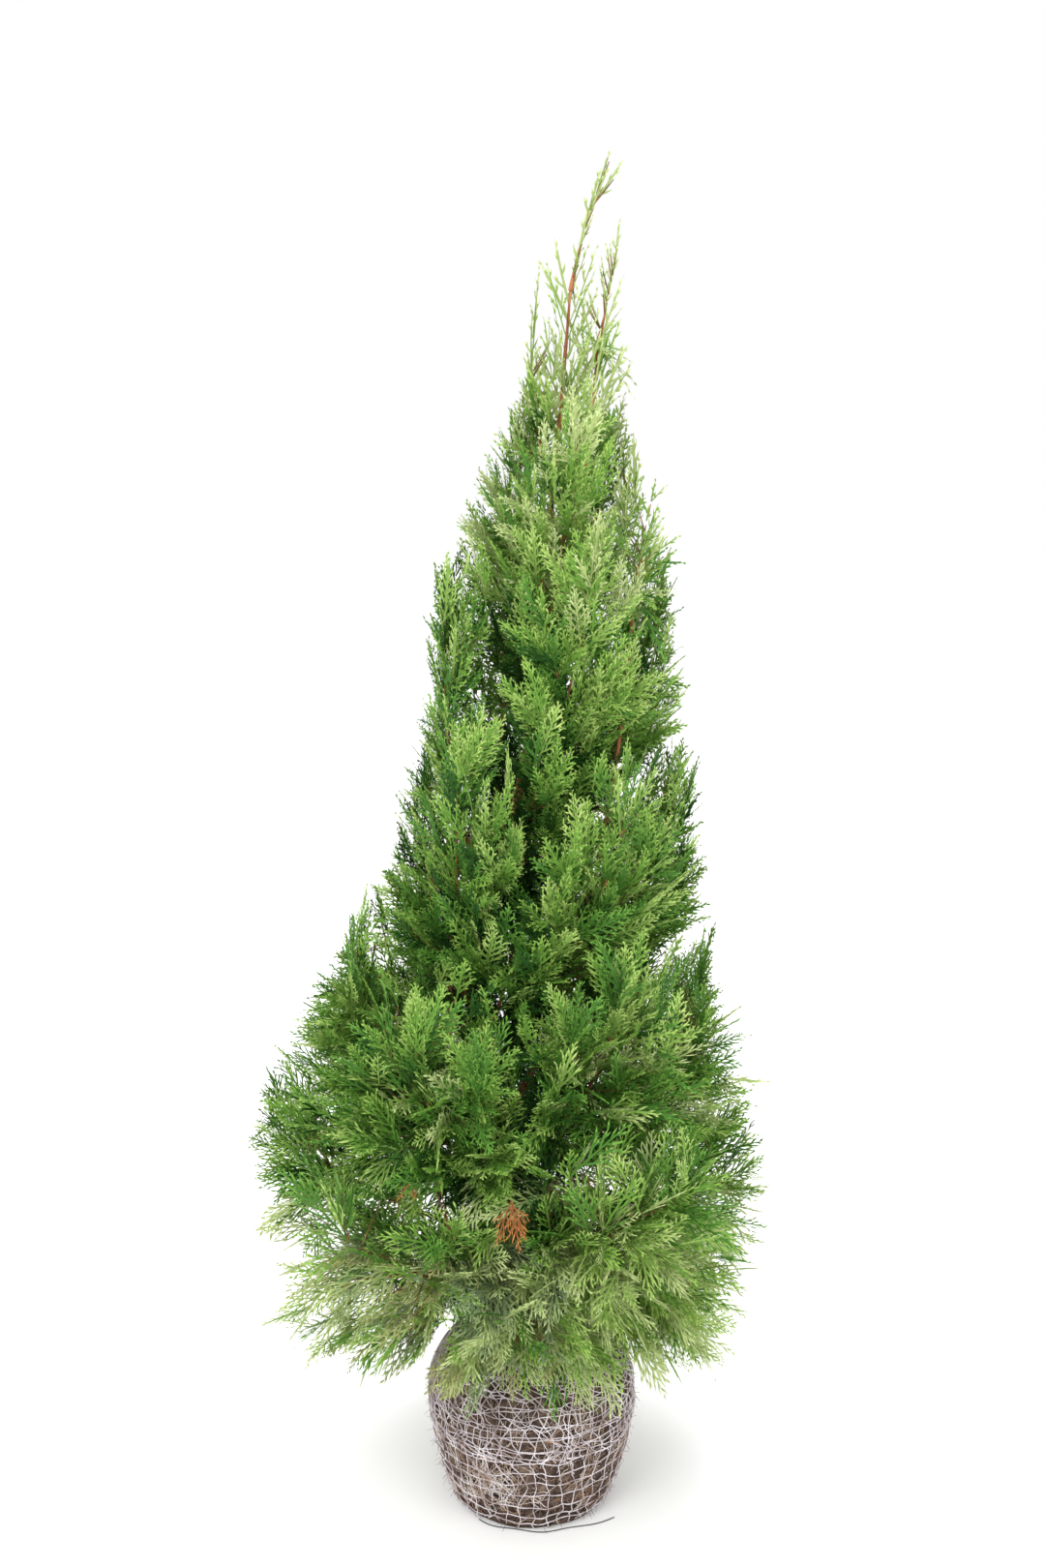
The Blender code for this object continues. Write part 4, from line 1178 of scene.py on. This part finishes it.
fillRule = {  # lengths in metres, angles in degrees; a depth is a share of the crown's half width
    "seed": 77, "rowSeed": 1300, "limbSeed": 900,
    "layers": (  # depth, spacing
        (1.00, 0.0240), (0.85, 0.030), (0.68, 0.037), (0.50, 0.046), (0.30, 0.056)),
    # low down the fans are longer and further apart
    "coarseBelow": 0.44, "coarse": 1.48, "coarseDepth": 0.8,
    # fewer where light comes through: below this height, outside these two, and not at the very back
    "openBelow": 0.36, "openFrom": (-0.07, 0.15), "openFront": 0.25,
    "openLeft": 0.80, "openRight": 0.50, "openFans": 0.46,  # the shares left out
    "fronts": (  # azimuths, heights, spacing, depths
        ((-138, -42), (0.215, 0.70), 0.031, (0.92, 0.72, 0.50, 0.28)),
        ((-116, -70), (0.330, 0.60), 0.023, (0.84, 0.64, 0.44)),
        ((-125, -60), (0.630, 0.90), 0.026, (0.80, 0.50))),
    "frontScatter": (0.90, 1.05), "scatter": (0.93, 1.03), "rowGap": 1.05, "boxEdge": 0.009,
    "topAbove": 1.06, "topSpacing": 0.92, "topReach": 0.80,  # shoots at the top are closer and shorter
    "innerHeights": (0.215, 1.08), "innerSpacing": 0.022, "innerCount": 8, "innerLeast": 0.026,
    "innerShare": 0.36,
    "lowest": 0.150, "highest": 1.225,
    # a twig starts on the mass's stem or at these shares of its branches, and is this long
    "stemEnd": 0.92, "stemSteps": 20, "shares": (0.15, 0.3, 0.45, 0.6, 0.75),
    "reach": 0.062, "reachRange": (0.8, 1.2), "leastReach": 0.035, "mostReach": 0.085, "lean": 1.2,
    "lift": (  # height, how far a twig's way is turned up
        (0.13, -0.55), (0.22, -0.25), (0.34, 0.10), (0.46, 0.35), (0.58, 0.85), (0.75, 1.5), (1.3, 2.2)),
    "stray": 0.30, "faceUp": 0.35, "roll": 50, "lengthRange": (0.98, 1.08),
}


def frontTargets(rng):
    # more tips over the trunk's lower front, where the boughs leave wide gaps
    targets = []
    bands = [(band, depth) for band in fillRule["fronts"] for depth in band[3]]
    for ((first, last), (height, highest), spacing, _), depth in bands:
        while height < highest:
            _, width = crownAt(height)
            count = max(2, int(math.radians(last - first) * width * depth / spacing))
            for number in range(count):
                azimuth = first + (last - first) * (number + rng.uniform(0.1, 0.9)) / count
                z = height + rng.uniform(-0.5, 0.5) * spacing
                middle, width = crownAt(z)
                share = rng.uniform(*fillRule["frontScatter"])
                target = Vector((middle, 0, z)) + outward(azimuth) * width * depth * share
                if target.z > hemAt(target) - hemRule["middleReach"]:
                    targets.append(target)
            height += spacing
    return targets


def innerTargets(rng):
    # tips close round the trunk, where the masses' own branches leave it bare
    rule = fillRule
    targets = []
    height, highest = rule["innerHeights"]
    while height < highest:
        centre, _ = trunkAt(height)
        turn = rng.uniform(0, 360)
        for number in range(rule["innerCount"]):
            azimuth = turn + 360 * (number + rng.uniform(-0.3, 0.3)) / rule["innerCount"]
            rise = upward(rng.uniform(-0.5, 0.5) * rule["innerSpacing"])
            most = max(rule["innerShare"] * crownAt(height)[1], rule["innerLeast"])
            target = centre + rise + outward(azimuth) * rng.uniform(rule["innerLeast"], most)
            if target.z > hemAt(target):
                targets.append(target)
        height += rule["innerSpacing"]
    return targets


def fillTargets(rng):
    # tips spread evenly over shells of the crown, from its edge inwards
    rule, targets = fillRule, []
    left, right = rule["openFrom"]
    for depth, fineSpacing in rule["layers"]:
        height = rule["lowest"]
        while height < rule["highest"]:
            coarse = height < rule["coarseBelow"] and depth > rule["coarseDepth"]
            spacing = fineSpacing * (rule["coarse"] if coarse else 1.0)
            spacing *= rule["topSpacing"] if height > rule["topAbove"] else 1.0
            _, width = crownAt(height)
            count = max(3, int(math.tau * width * depth / spacing))
            turn = rng.uniform(0, 360)
            for number in range(count):
                z = height + rng.uniform(-0.6, 0.6) * spacing
                middle, width = crownAt(z)
                radius = width * depth * rng.uniform(*rule["scatter"])
                azimuth = turn + 360 * (number + rng.uniform(-0.3, 0.3)) / count
                target = Vector((middle, 0, z)) + outward(azimuth) * radius
                aside = not left < target.x < right
                thin = aside and z < rule["openBelow"] and target.y < rule["openFront"]
                missing = rule["openLeft"] if target.x < 0 else rule["openRight"]
                if target.z > hemAt(target) and not (thin and rng.random() < missing):
                    targets.append(target)
            height += spacing * rule["rowGap"]
    targets += frontTargets(rng) + innerTargets(rng)
    for target in targets:
        for axis in (0, 1):
            low, high = cadBox[0][axis] + rule["boxEdge"], cadBox[1][axis] - rule["boxEdge"]
            target[axis] = min(max(target[axis], low), high)
    return targets


def growFill():
    # each target belongs to the mass with the nearest stem; a twig reaches for it from that mass's branches
    rule = fillRule
    rng = random.Random(rule["seed"])
    stemPoints, owners = [], []
    for index, limb in enumerate(limbs):
        stem = partOf(limb["path"], limb["bough"], 1, limbRule["samples"])
        stemPoints += stem
        owners += [index] * len(stem)
    nearestStem = treeOf(stemPoints)
    networks = []
    for limb in limbs:
        nodes = partOf(limb["path"], limb["bough"], rule["stemEnd"], rule["stemSteps"])
        for blade in limb["blades"]:
            nodes += [blade["root"] + blade["way"] * blade["length"] * share for share in rule["shares"]]
        networks.append((nodes, treeOf(nodes)))
    heights, lifts = zip(*rule["lift"])
    grown = {}
    for target in fillTargets(rng):
        owner = owners[nearestStem.find(target)[1]]
        middle, _ = crownAt(target.z)
        radial = Vector((target.x - middle, target.y, 0)).normalized()
        lift = float(np.interp(target.z, heights, lifts))
        stray = Vector((rng.gauss(0, 1), rng.gauss(0, 1), rng.gauss(0, 1))) * rule["stray"]
        way = (radial + upward(lift) + stray).normalized()
        coarse = rule["coarse"] if target.z < rule["coarseBelow"] else 1.0
        coarse = rule["topReach"] if target.z > rule["topAbove"] else coarse
        reach = rule["reach"] * coarse * rng.uniform(*rule["reachRange"])
        begin = Vector(networks[owner][1].find(target - way * reach)[0])
        gap = target - begin
        if gap.length < rule["leastReach"] * coarse:
            begin = target - way * reach
            gap = target - begin
        if gap.length > rule["mostReach"] * coarse:
            base = target - (way * rule["lean"] + gap.normalized()).normalized() * reach
            limbs[owner].setdefault("links", []).append((begin, base))
            begin, gap = base, target - base
        way = gap.normalized()
        facing = radial + upward(rule["faceUp"])
        flat = facing - facing.dot(way) * way
        flat = flat.normalized() if flat.length > 0.05 else way.orthogonal().normalized()
        roll = math.radians(rng.uniform(-1, 1) * rule["roll"])
        normal = math.cos(roll) * flat + math.sin(roll) * way.cross(flat)
        size = gap.length * rng.uniform(*rule["lengthRange"])
        grown.setdefault(owner, []).append((begin, way, normal, size))
    return grown


fansTree = sprayTree()
foliagePieces = {}
masses = {}
filled = growFill()
for number, limb in enumerate(limbs):
    rng = random.Random(fillRule["rowSeed"] + number)
    rows = fanRows(limb, fillRule["limbSeed"] + number)
    rows += keptRows(filled.get(number, []), limb["tier"], rng)
    masses.setdefault(limb["tier"], []).append((limb, rows))
tuftLimb = masses["tuft"][0][0]
rng = random.Random(topRule["seed"])
masses["tuft"].append((tuftLimb, keptRows(stemShoots(), "tuft", rng)))
skirtLimb = masses["skirt"][0][0]
masses["skirt"].append((skirtLimb, deadRows()))
total = 0
wideMasses = masses.pop("wide")
masses["wideFront"] = [member for member in wideMasses if member[0]["path"][-1].y < 0]
masses["wideBack"] = [member for member in wideMasses if member[0]["path"][-1].y >= 0]
for tier, members in masses.items():
    rows = [row for _, more in members for row in more]
    values = {"Fans": fanShapes, **{material.name: material for material in leafMaterials}}
    piece = grownMesh(tier + "Sprays", fanPoints(tier, rows), fansTree, values)
    foliagePieces[tier] = piece
    piece.data.calc_loop_triangles()
    triangles = len(piece.data.loop_triangles)
    total += triangles
    print(f"  {tier}: {len(rows)} fans, {triangles} triangles")
print("fans grown:", total, "triangles")

# twigs: the masses' own stems, and the woody part of each branch
twigSizes = {  # radii in metres
    "stemSides": 6, "stemSteps": 18, "stemTip": 0.0007, "pastStem": 0.12,
    "branchSides": 4, "branchSteps": 6, "branchFoot": 0.00095, "branchTip": 0.00045, "woodyShare": 0.66,
    "finerScale": 0.75, "linkFoot": 0.8, "linkMiddle": 0.7,
}


def stemLines(limb):
    end = topRule["woodEnd"] if limb["tier"] == "tuft" else limbRule["stemEnd"] + twigSizes["pastStem"]
    stem = partOf(limb["path"], limb["bough"], end, twigSizes["stemSteps"])
    return [(stem, np.linspace(limbRule["stemFoot"], twigSizes["stemTip"], len(stem)))]


def branchLines(limb):
    sizes, lines = twigSizes, []
    foot, tip, steps = sizes["branchFoot"], sizes["branchTip"], sizes["branchSteps"]
    for number, blade in enumerate(limb["blades"]):
        scale = 1.0 if number < limb["firstBlades"] else sizes["finerScale"]
        shares = np.linspace(0, sizes["woodyShare"], steps).tolist()
        path = [blade["root"] + blade["length"] * share * blade["way"]
                + upward(-blade["droop"] * blade["length"] * share**2) for share in shares]
        lines.append((path, np.linspace(foot * scale, tip * scale, steps)))
    for begin, end in limb.get("links", []):
        radii = [foot * sizes["linkFoot"], foot * sizes["linkMiddle"], tip]
        lines.append(([begin, begin.lerp(end, 0.5), end], radii))
    return lines


def tubePiece(name, lines, sides, finish):
    return grownMesh(name, polylineMesh(name + "Lines", lines), tubes, {"Sides": sides, "Finish": finish})


stemTubes = tubePiece("massStems", [line for limb in limbs for line in stemLines(limb)],
                      twigSizes["stemSides"], woodMaterials["youngBark"])
branchTubes = tubePiece("fineTwigs", [line for limb in limbs for line in branchLines(limb)],
                        twigSizes["branchSides"], woodMaterials["twigBark"])
print("twigs made")

# root ball: soil, fibres and the wire net
ballSizes = {  # lengths in metres; the knee is the share of the side where it is widest
    "foot": 0.086, "widest": 0.109, "widestHeight": 0.112, "top": 0.187, "seat": 0.014,
    "knee": 0.52, "crest": 0.86,
    "around": 150, "rings": 84, "lump": 0.0045, "lumpScale": 26.0, "grit": 0.0016, "gritScale": 140.0,
    "gritLevel": 0.6, "fadeFrom": 0.25, "fade": 3.0, "sunk": 0.0020, "least": 0.0006, "topSunk": 0.001,
}


def ballAt(share):
    # (radius, height) along the ball's side, from its foot at 0 to its seat at 1
    size, knee = ballSizes, ballSizes["knee"]
    if share < knee:
        part = share / knee
        return (size["foot"] + (size["widest"] - size["foot"]) * math.sin(part * math.pi / 2),
                size["widestHeight"] * part)
    angle = (share - knee) / (1 - knee) * math.pi / 2
    return (size["seat"] + (size["widest"] - size["seat"]) * math.cos(angle) ** size["crest"],
            size["widestHeight"] + (size["top"] - size["widestHeight"]) * math.sin(angle))


def onBall(azimuth, share, lift=0.0):
    # a point on the smooth ball, lifted off it
    radius, height = ballAt(share)
    lower, upper = ballAt(max(share - 0.01, 0)), ballAt(min(share + 0.01, 1))
    along = Vector((upper[0] - lower[0], upper[1] - lower[1])).normalized()
    way = outward(math.degrees(azimuth))
    return way * (radius + lift * along.y) + upward(height - lift * along.x)


def soilMesh():
    # the crumbly skin of the ball, closed at its foot and at its top
    size = ballSizes
    points, faces = [upward(size["least"])], []
    around, rings = size["around"], size["rings"]
    for ring in range(rings + 1):
        share = ring / rings
        for corner in range(around):
            azimuth = math.tau * corner / around
            smooth = onBall(azimuth, share)
            lumps = noise.fractal(smooth * size["lumpScale"], 0.9, 2.0, 3) * size["lump"]
            rough = noise.turbulence(smooth * size["gritScale"], 3, True)
            grit = (rough - size["gritLevel"]) * size["grit"]
            fade = min(1.0, size["fade"] * share + size["fadeFrom"])
            point = onBall(azimuth, share, (lumps + grit) * fade - size["sunk"])
            point.z = max(point.z, size["least"])
            points.append(point)
    points.append(upward(size["top"] - size["topSunk"]))
    for corner in range(around):
        beside = (corner + 1) % around
        faces.append((0, 1 + beside, 1 + corner))
        for ring in range(rings):
            here = 1 + ring * around
            faces.append((here + corner, here + beside, here + around + beside, here + around + corner))
        last = 1 + rings * around
        faces.append((last + corner, last + beside, len(points) - 1))
    return points, faces


fibreSizes = {  # lengths in metres, the sides in degrees, headings in radians
    "seed": 21, "count": 1500, "range": (0.02, 0.99), "rangePower": 0.9, "anyHeading": 0.5,
    "bunches": 40, "bunch": 17, "bunchRange": (0.12, 0.62), "bunchSpread": 0.10, "bunchTurn": 0.45,
    "sides": (-118, -58), "sideSpread": 15,
    "steps": (4, 8), "stride": 0.0045, "liftRange": (-0.0008, 0.0014), "liftTurn": 0.0005, "turn": 0.35,
    "side": 0.22, "least": 0.0008, "thickness": (0.00022, 0.00060), "tip": 0.5,
    "hairs": 1100, "hair": 0.012, "hairRange": (0.3, 1.0), "hairRadii": (0.0003, 0.00025, 0.00012),
}


def fibreStarts(rng):
    # (azimuth, share of the side, heading) of each root: single ones, then bunches, every other at a side
    size, starts = fibreSizes, []
    for _ in range(size["count"]):
        azimuth, share = rng.uniform(0, math.tau), rng.uniform(*size["range"]) ** size["rangePower"]
        anyWay = rng.random() < size["anyHeading"]
        starts.append((azimuth, share, rng.uniform(0, math.tau) if anyWay else rng.gauss(0.0, 0.5)))
    for number in range(size["bunches"]):
        azimuth, share = rng.uniform(0, math.tau), rng.uniform(*size["bunchRange"])
        heading = rng.gauss(math.pi / 2, 0.5)
        if number % 2:
            azimuth = math.radians(rng.choice(size["sides"]) + rng.gauss(0, size["sideSpread"]))
        spread = size["bunchSpread"]
        for _ in range(size["bunch"]):
            place = azimuth + rng.gauss(0, spread), min(max(share + rng.gauss(0, spread * 0.5), 0.02), 0.98)
            starts.append((*place, heading + rng.gauss(0, size["bunchTurn"])))
    return starts


def fibreLines():
    # brown roots all over with short hairs, and pale roots that run together, mostly upright
    size, rng = fibreSizes, random.Random(fibreSizes["seed"])
    lines, paleLines = [], []
    for number, (azimuth, share, heading) in enumerate(fibreStarts(rng)):
        steps = rng.randint(*size["steps"])
        lift = rng.uniform(*size["liftRange"])
        path = []
        for _ in range(steps):
            path.append(onBall(azimuth, share, lift))
            heading += rng.gauss(0, size["turn"])
            azimuth += math.cos(heading) * size["stride"] / max(ballAt(share)[0], 0.02)
            share = min(max(share + math.sin(heading) * size["stride"] / size["side"], 0.01), 0.99)
            lift += rng.gauss(0, size["liftTurn"])
        for point in path:
            point.z = max(point.z, size["least"])
        thick = rng.uniform(*size["thickness"])
        kind = lines if number < size["count"] else paleLines
        kind.append((path, np.linspace(thick, thick * size["tip"], len(path))))
    for _ in range(size["hairs"]):
        azimuth, share = rng.uniform(0, math.tau), rng.uniform(0.03, 0.95)
        start = onBall(azimuth, share, -0.001)
        way = outward(math.degrees(azimuth) + rng.uniform(-70, 70))
        way = (way + upward(rng.uniform(-1.1, 0.5))).normalized()
        reach = rng.uniform(*size["hairRange"]) * size["hair"]
        path = [start, start + way * reach * 0.5, start + way * reach + upward(-0.15 * reach)]
        for point in path:
            point.z = max(point.z, ballSizes["least"])
        lines.append((path, size["hairRadii"]))
    return lines, paleLines


netSizes = {
    "wireNet": {"Uprights": 46, "Hoops": 16, "Wire": 0.00054, "From": 0.015, "To": 0.97, "Twist": 0.55,
                "Sway": 0.40, "Rise": 0.130, "Off": 0.0014, "Seed": 4.0},
    "wireGathers": {"Uprights": 58, "Hoops": 15, "Wire": 0.00048, "From": 0.40, "To": 0.985, "Twist": -1.35,
                    "Sway": 0.60, "Rise": 0.130, "Off": 0.0022, "Seed": 9.0},
}
netForm = {  # the same for both layers of wire
    "counts": (44, 150), "tall": 2.5, "noise": 2.6, "shares": (0.004, 0.995),
    "twistFrom": 0.40, "twist": 4.0, "profile": (0.12, 0.20), "dots": 17,
    "waves": 0.0030, "topOff": 1.2, "clear": 0.0004, "sides": 5,
}


def netTree():
    # upright wires and hoops on the ball's profile, swayed by noise
    form = netForm
    lengths = [(name, "Float") for name in ("Wire", "From", "To", "Twist", "Sway", "Rise", "Off", "Seed")]
    tree, given, result = newTree("netOnBall", (
        ("Uprights", "Int"), ("Hoops", "Int"), *lengths, ("Finish", "Material")))

    def maths(operation, *values):
        return mathOf(tree, operation, *values)

    def row(count, axis):
        # curves of unit length along one axis, spread evenly over the other
        end = ((0.0, 1.0, 0.0), (1.0, 0.0, 0.0))[axis]
        line = addNode(tree, "GeometryNodeCurvePrimitiveLine", {"Start": (0.0, 0.0, 0.0), "End": end})
        fine = addNode(tree, "GeometryNodeResampleCurve",
                       {"Curve": line.outputs["Curve"], "Count": form["counts"][axis]})
        gap = maths("DIVIDE", 1.0, count)
        half = maths("MULTIPLY", gap, 0.5)
        key = ("X", "Y")[axis]
        offset = addNode(tree, "ShaderNodeCombineXYZ", {key: gap}).outputs["Vector"]
        start = addNode(tree, "ShaderNodeCombineXYZ", {key: half}).outputs["Vector"]
        marks = addNode(tree, "GeometryNodeMeshLine",
                        {"Count": count, "Start Location": start, "Offset": offset})
        put = addNode(tree, "GeometryNodeInstanceOnPoints",
                      {"Points": marks.outputs["Mesh"], "Instance": fine.outputs["Curve"]})
        real = addNode(tree, "GeometryNodeRealizeInstances", {"Geometry": put.outputs["Instances"]})
        return real.outputs["Geometry"]

    both = addNode(tree, "GeometryNodeJoinGeometry")
    for curves in (row(given["Uprights"], 0), row(given["Hoops"], 1)):
        tree.links.new(curves, both.inputs["Geometry"])
    position = addNode(tree, "GeometryNodeInputPosition").outputs["Position"]
    flat = addNode(tree, "ShaderNodeSeparateXYZ", {"Vector": position})
    turn = maths("MULTIPLY", flat.outputs["X"], math.tau)
    circle = addNode(tree, "ShaderNodeCombineXYZ", {
        "X": maths("COSINE", turn), "Y": maths("SINE", turn),
        "Z": maths("MULTIPLY", flat.outputs["Y"], form["tall"])})
    sway = addNode(tree, "ShaderNodeTexNoise", {
        "Vector": circle.outputs["Vector"], "W": given["Seed"], "Scale": form["noise"], "Detail": 2.0},
        noise_dimensions="4D")
    swayed = addNode(tree, "ShaderNodeSeparateXYZ", {"Vector": sway.outputs["Color"]})
    wiggles = [maths("SUBTRACT", swayed.outputs[axis], 0.5) for axis in range(3)]
    span = maths("SUBTRACT", given["To"], given["From"])
    share = maths("MULTIPLY_ADD", flat.outputs["Y"], span, given["From"])
    share = maths("MULTIPLY_ADD", wiggles[0], given["Rise"], share)
    share = maths("MINIMUM", maths("MAXIMUM", share, form["shares"][0]), form["shares"][1])
    upper = maths("MAXIMUM", maths("SUBTRACT", share, form["twistFrom"]), 0.0)
    twist = maths("MULTIPLY", given["Twist"], form["twist"])
    angle = maths("MULTIPLY_ADD", maths("MULTIPLY", upper, upper), twist, turn)
    angle = maths("MULTIPLY_ADD", wiggles[1], given["Sway"], angle)
    profiles = []
    for axis, tall in enumerate(form["profile"]):
        curve = addNode(tree, "ShaderNodeFloatCurve", {"Value": share})
        dots = curve.mapping.curves[0].points
        while len(dots) < form["dots"]:
            dots.new(0.5, 0.5)
        for number, dot in enumerate(dots):
            along = number / (form["dots"] - 1)
            dot.location = (along, ballAt(along)[axis] / tall)
        curve.mapping.update()
        profiles.append(maths("MULTIPLY", curve.outputs["Value"], tall))
    away = maths("MULTIPLY_ADD", wiggles[2], form["waves"], given["Off"])
    radius = maths("ADD", profiles[0], away)
    height = maths("ADD", profiles[1], maths("MULTIPLY", away, maths("MULTIPLY", upper, form["topOff"])))
    height = maths("MAXIMUM", height, maths("ADD", given["Wire"], form["clear"]))
    place = addNode(tree, "ShaderNodeCombineXYZ", {
        "X": maths("MULTIPLY", radius, maths("COSINE", angle)),
        "Y": maths("MULTIPLY", radius, maths("SINE", angle)), "Z": height})
    bent = addNode(tree, "GeometryNodeSetPosition",
                   {"Geometry": both.outputs["Geometry"], "Position": place.outputs["Vector"]})
    ring = addNode(tree, "GeometryNodeCurvePrimitiveCircle",
                   {"Resolution": form["sides"], "Radius": given["Wire"]})
    wire = addNode(tree, "GeometryNodeCurveToMesh", {
        "Curve": bent.outputs["Geometry"], "Profile Curve": ring.outputs["Curve"], "Fill Caps": True})
    return finished(tree, wire.outputs["Mesh"], given, result)


soilBall = meshPiece("soilBall", [soilMesh()], ballMaterials["soil"])
brownLines, paleLines = fibreLines()
rootFibres = tubePiece("rootFibres", brownLines, 3, ballMaterials["root"])
paleRoots = tubePiece("paleRoots", paleLines, 3, ballMaterials["paleRoot"])
net = netTree()
wirePieces = []
for name, sizes in netSizes.items():
    blank = bpy.data.meshes.new(name + "Blank")
    wirePieces.append(grownMesh(name, blank, net, {**sizes, "Finish": ballMaterials["wire"]}))

looseWire = {
    "azimuths": (-128, -38), "reach": 0.0895, "bow": 0.0015, "bows": 5, "drift": 0.020, "radius": 0.0005,
    "clear": 0.0004, "steps": 24, "sides": 6,
}


def looseWireLine():
    # the loose end of the tie wire, lying round the front of the foot
    wire, path = looseWire, []
    first, last = wire["azimuths"]
    for step in range(wire["steps"] + 1):
        share = step / wire["steps"]
        bow = wire["bow"] * math.sin(share * math.pi * wire["bows"])
        way = outward(first + (last - first) * share)
        reach = wire["reach"] + bow + wire["drift"] * share**4
        path.append(way * reach + upward(wire["radius"] + wire["clear"]))
    return [(path, [wire["radius"]] * len(path))]


tieWire = tubePiece("tieWire", looseWireLine(), looseWire["sides"], ballMaterials["darkWire"])
print("root ball made")

for tier, piece in foliagePieces.items():
    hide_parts(*sorted({"foliage_" + limb["name"] for limb, _ in masses[tier]}))
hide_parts("trunk")
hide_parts(*(leader["name"] for leader in leaderRule))
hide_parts(*("bough_" + limb["name"] for limb in limbs if limb["bough"]))
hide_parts("root_ball")
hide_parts("wire_net")
slots = (
    ("foliage", foliagePieces.values()),
    ("bark", (barkTrunk, barkLeaders, barkBoughs, stemTubes, branchTubes)),
    ("soil", (soilBall, rootFibres, paleRoots)), ("wire", (*wirePieces, tieWire)),
)
for slotName, pieces in slots:
    for piece in pieces:
        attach(piece, "root")

floorSize = {"half": 60.0, "colour": (0.97, 0.97, 0.97)}


def makeFloor():
    half = floorSize["half"]
    corners = [(-half, -half, 0), (half, -half, 0), (half, half, 0), (-half, half, 0)]
    mesh = meshOf("studioFloor", corners, [], [(0, 1, 2, 3)])
    material, _, shader = newMaterial("palePaper", 0.9, 0.1)
    shader.inputs["Base Color"].default_value = (*floorSize["colour"], 1.0)
    mesh.materials.append(material)
    floor = addObject("studioFloor", mesh)


makeFloor()
for shape in list(fanShapes.objects):
    bpy.data.objects.remove(shape)
bpy.data.collections.remove(fanShapes)
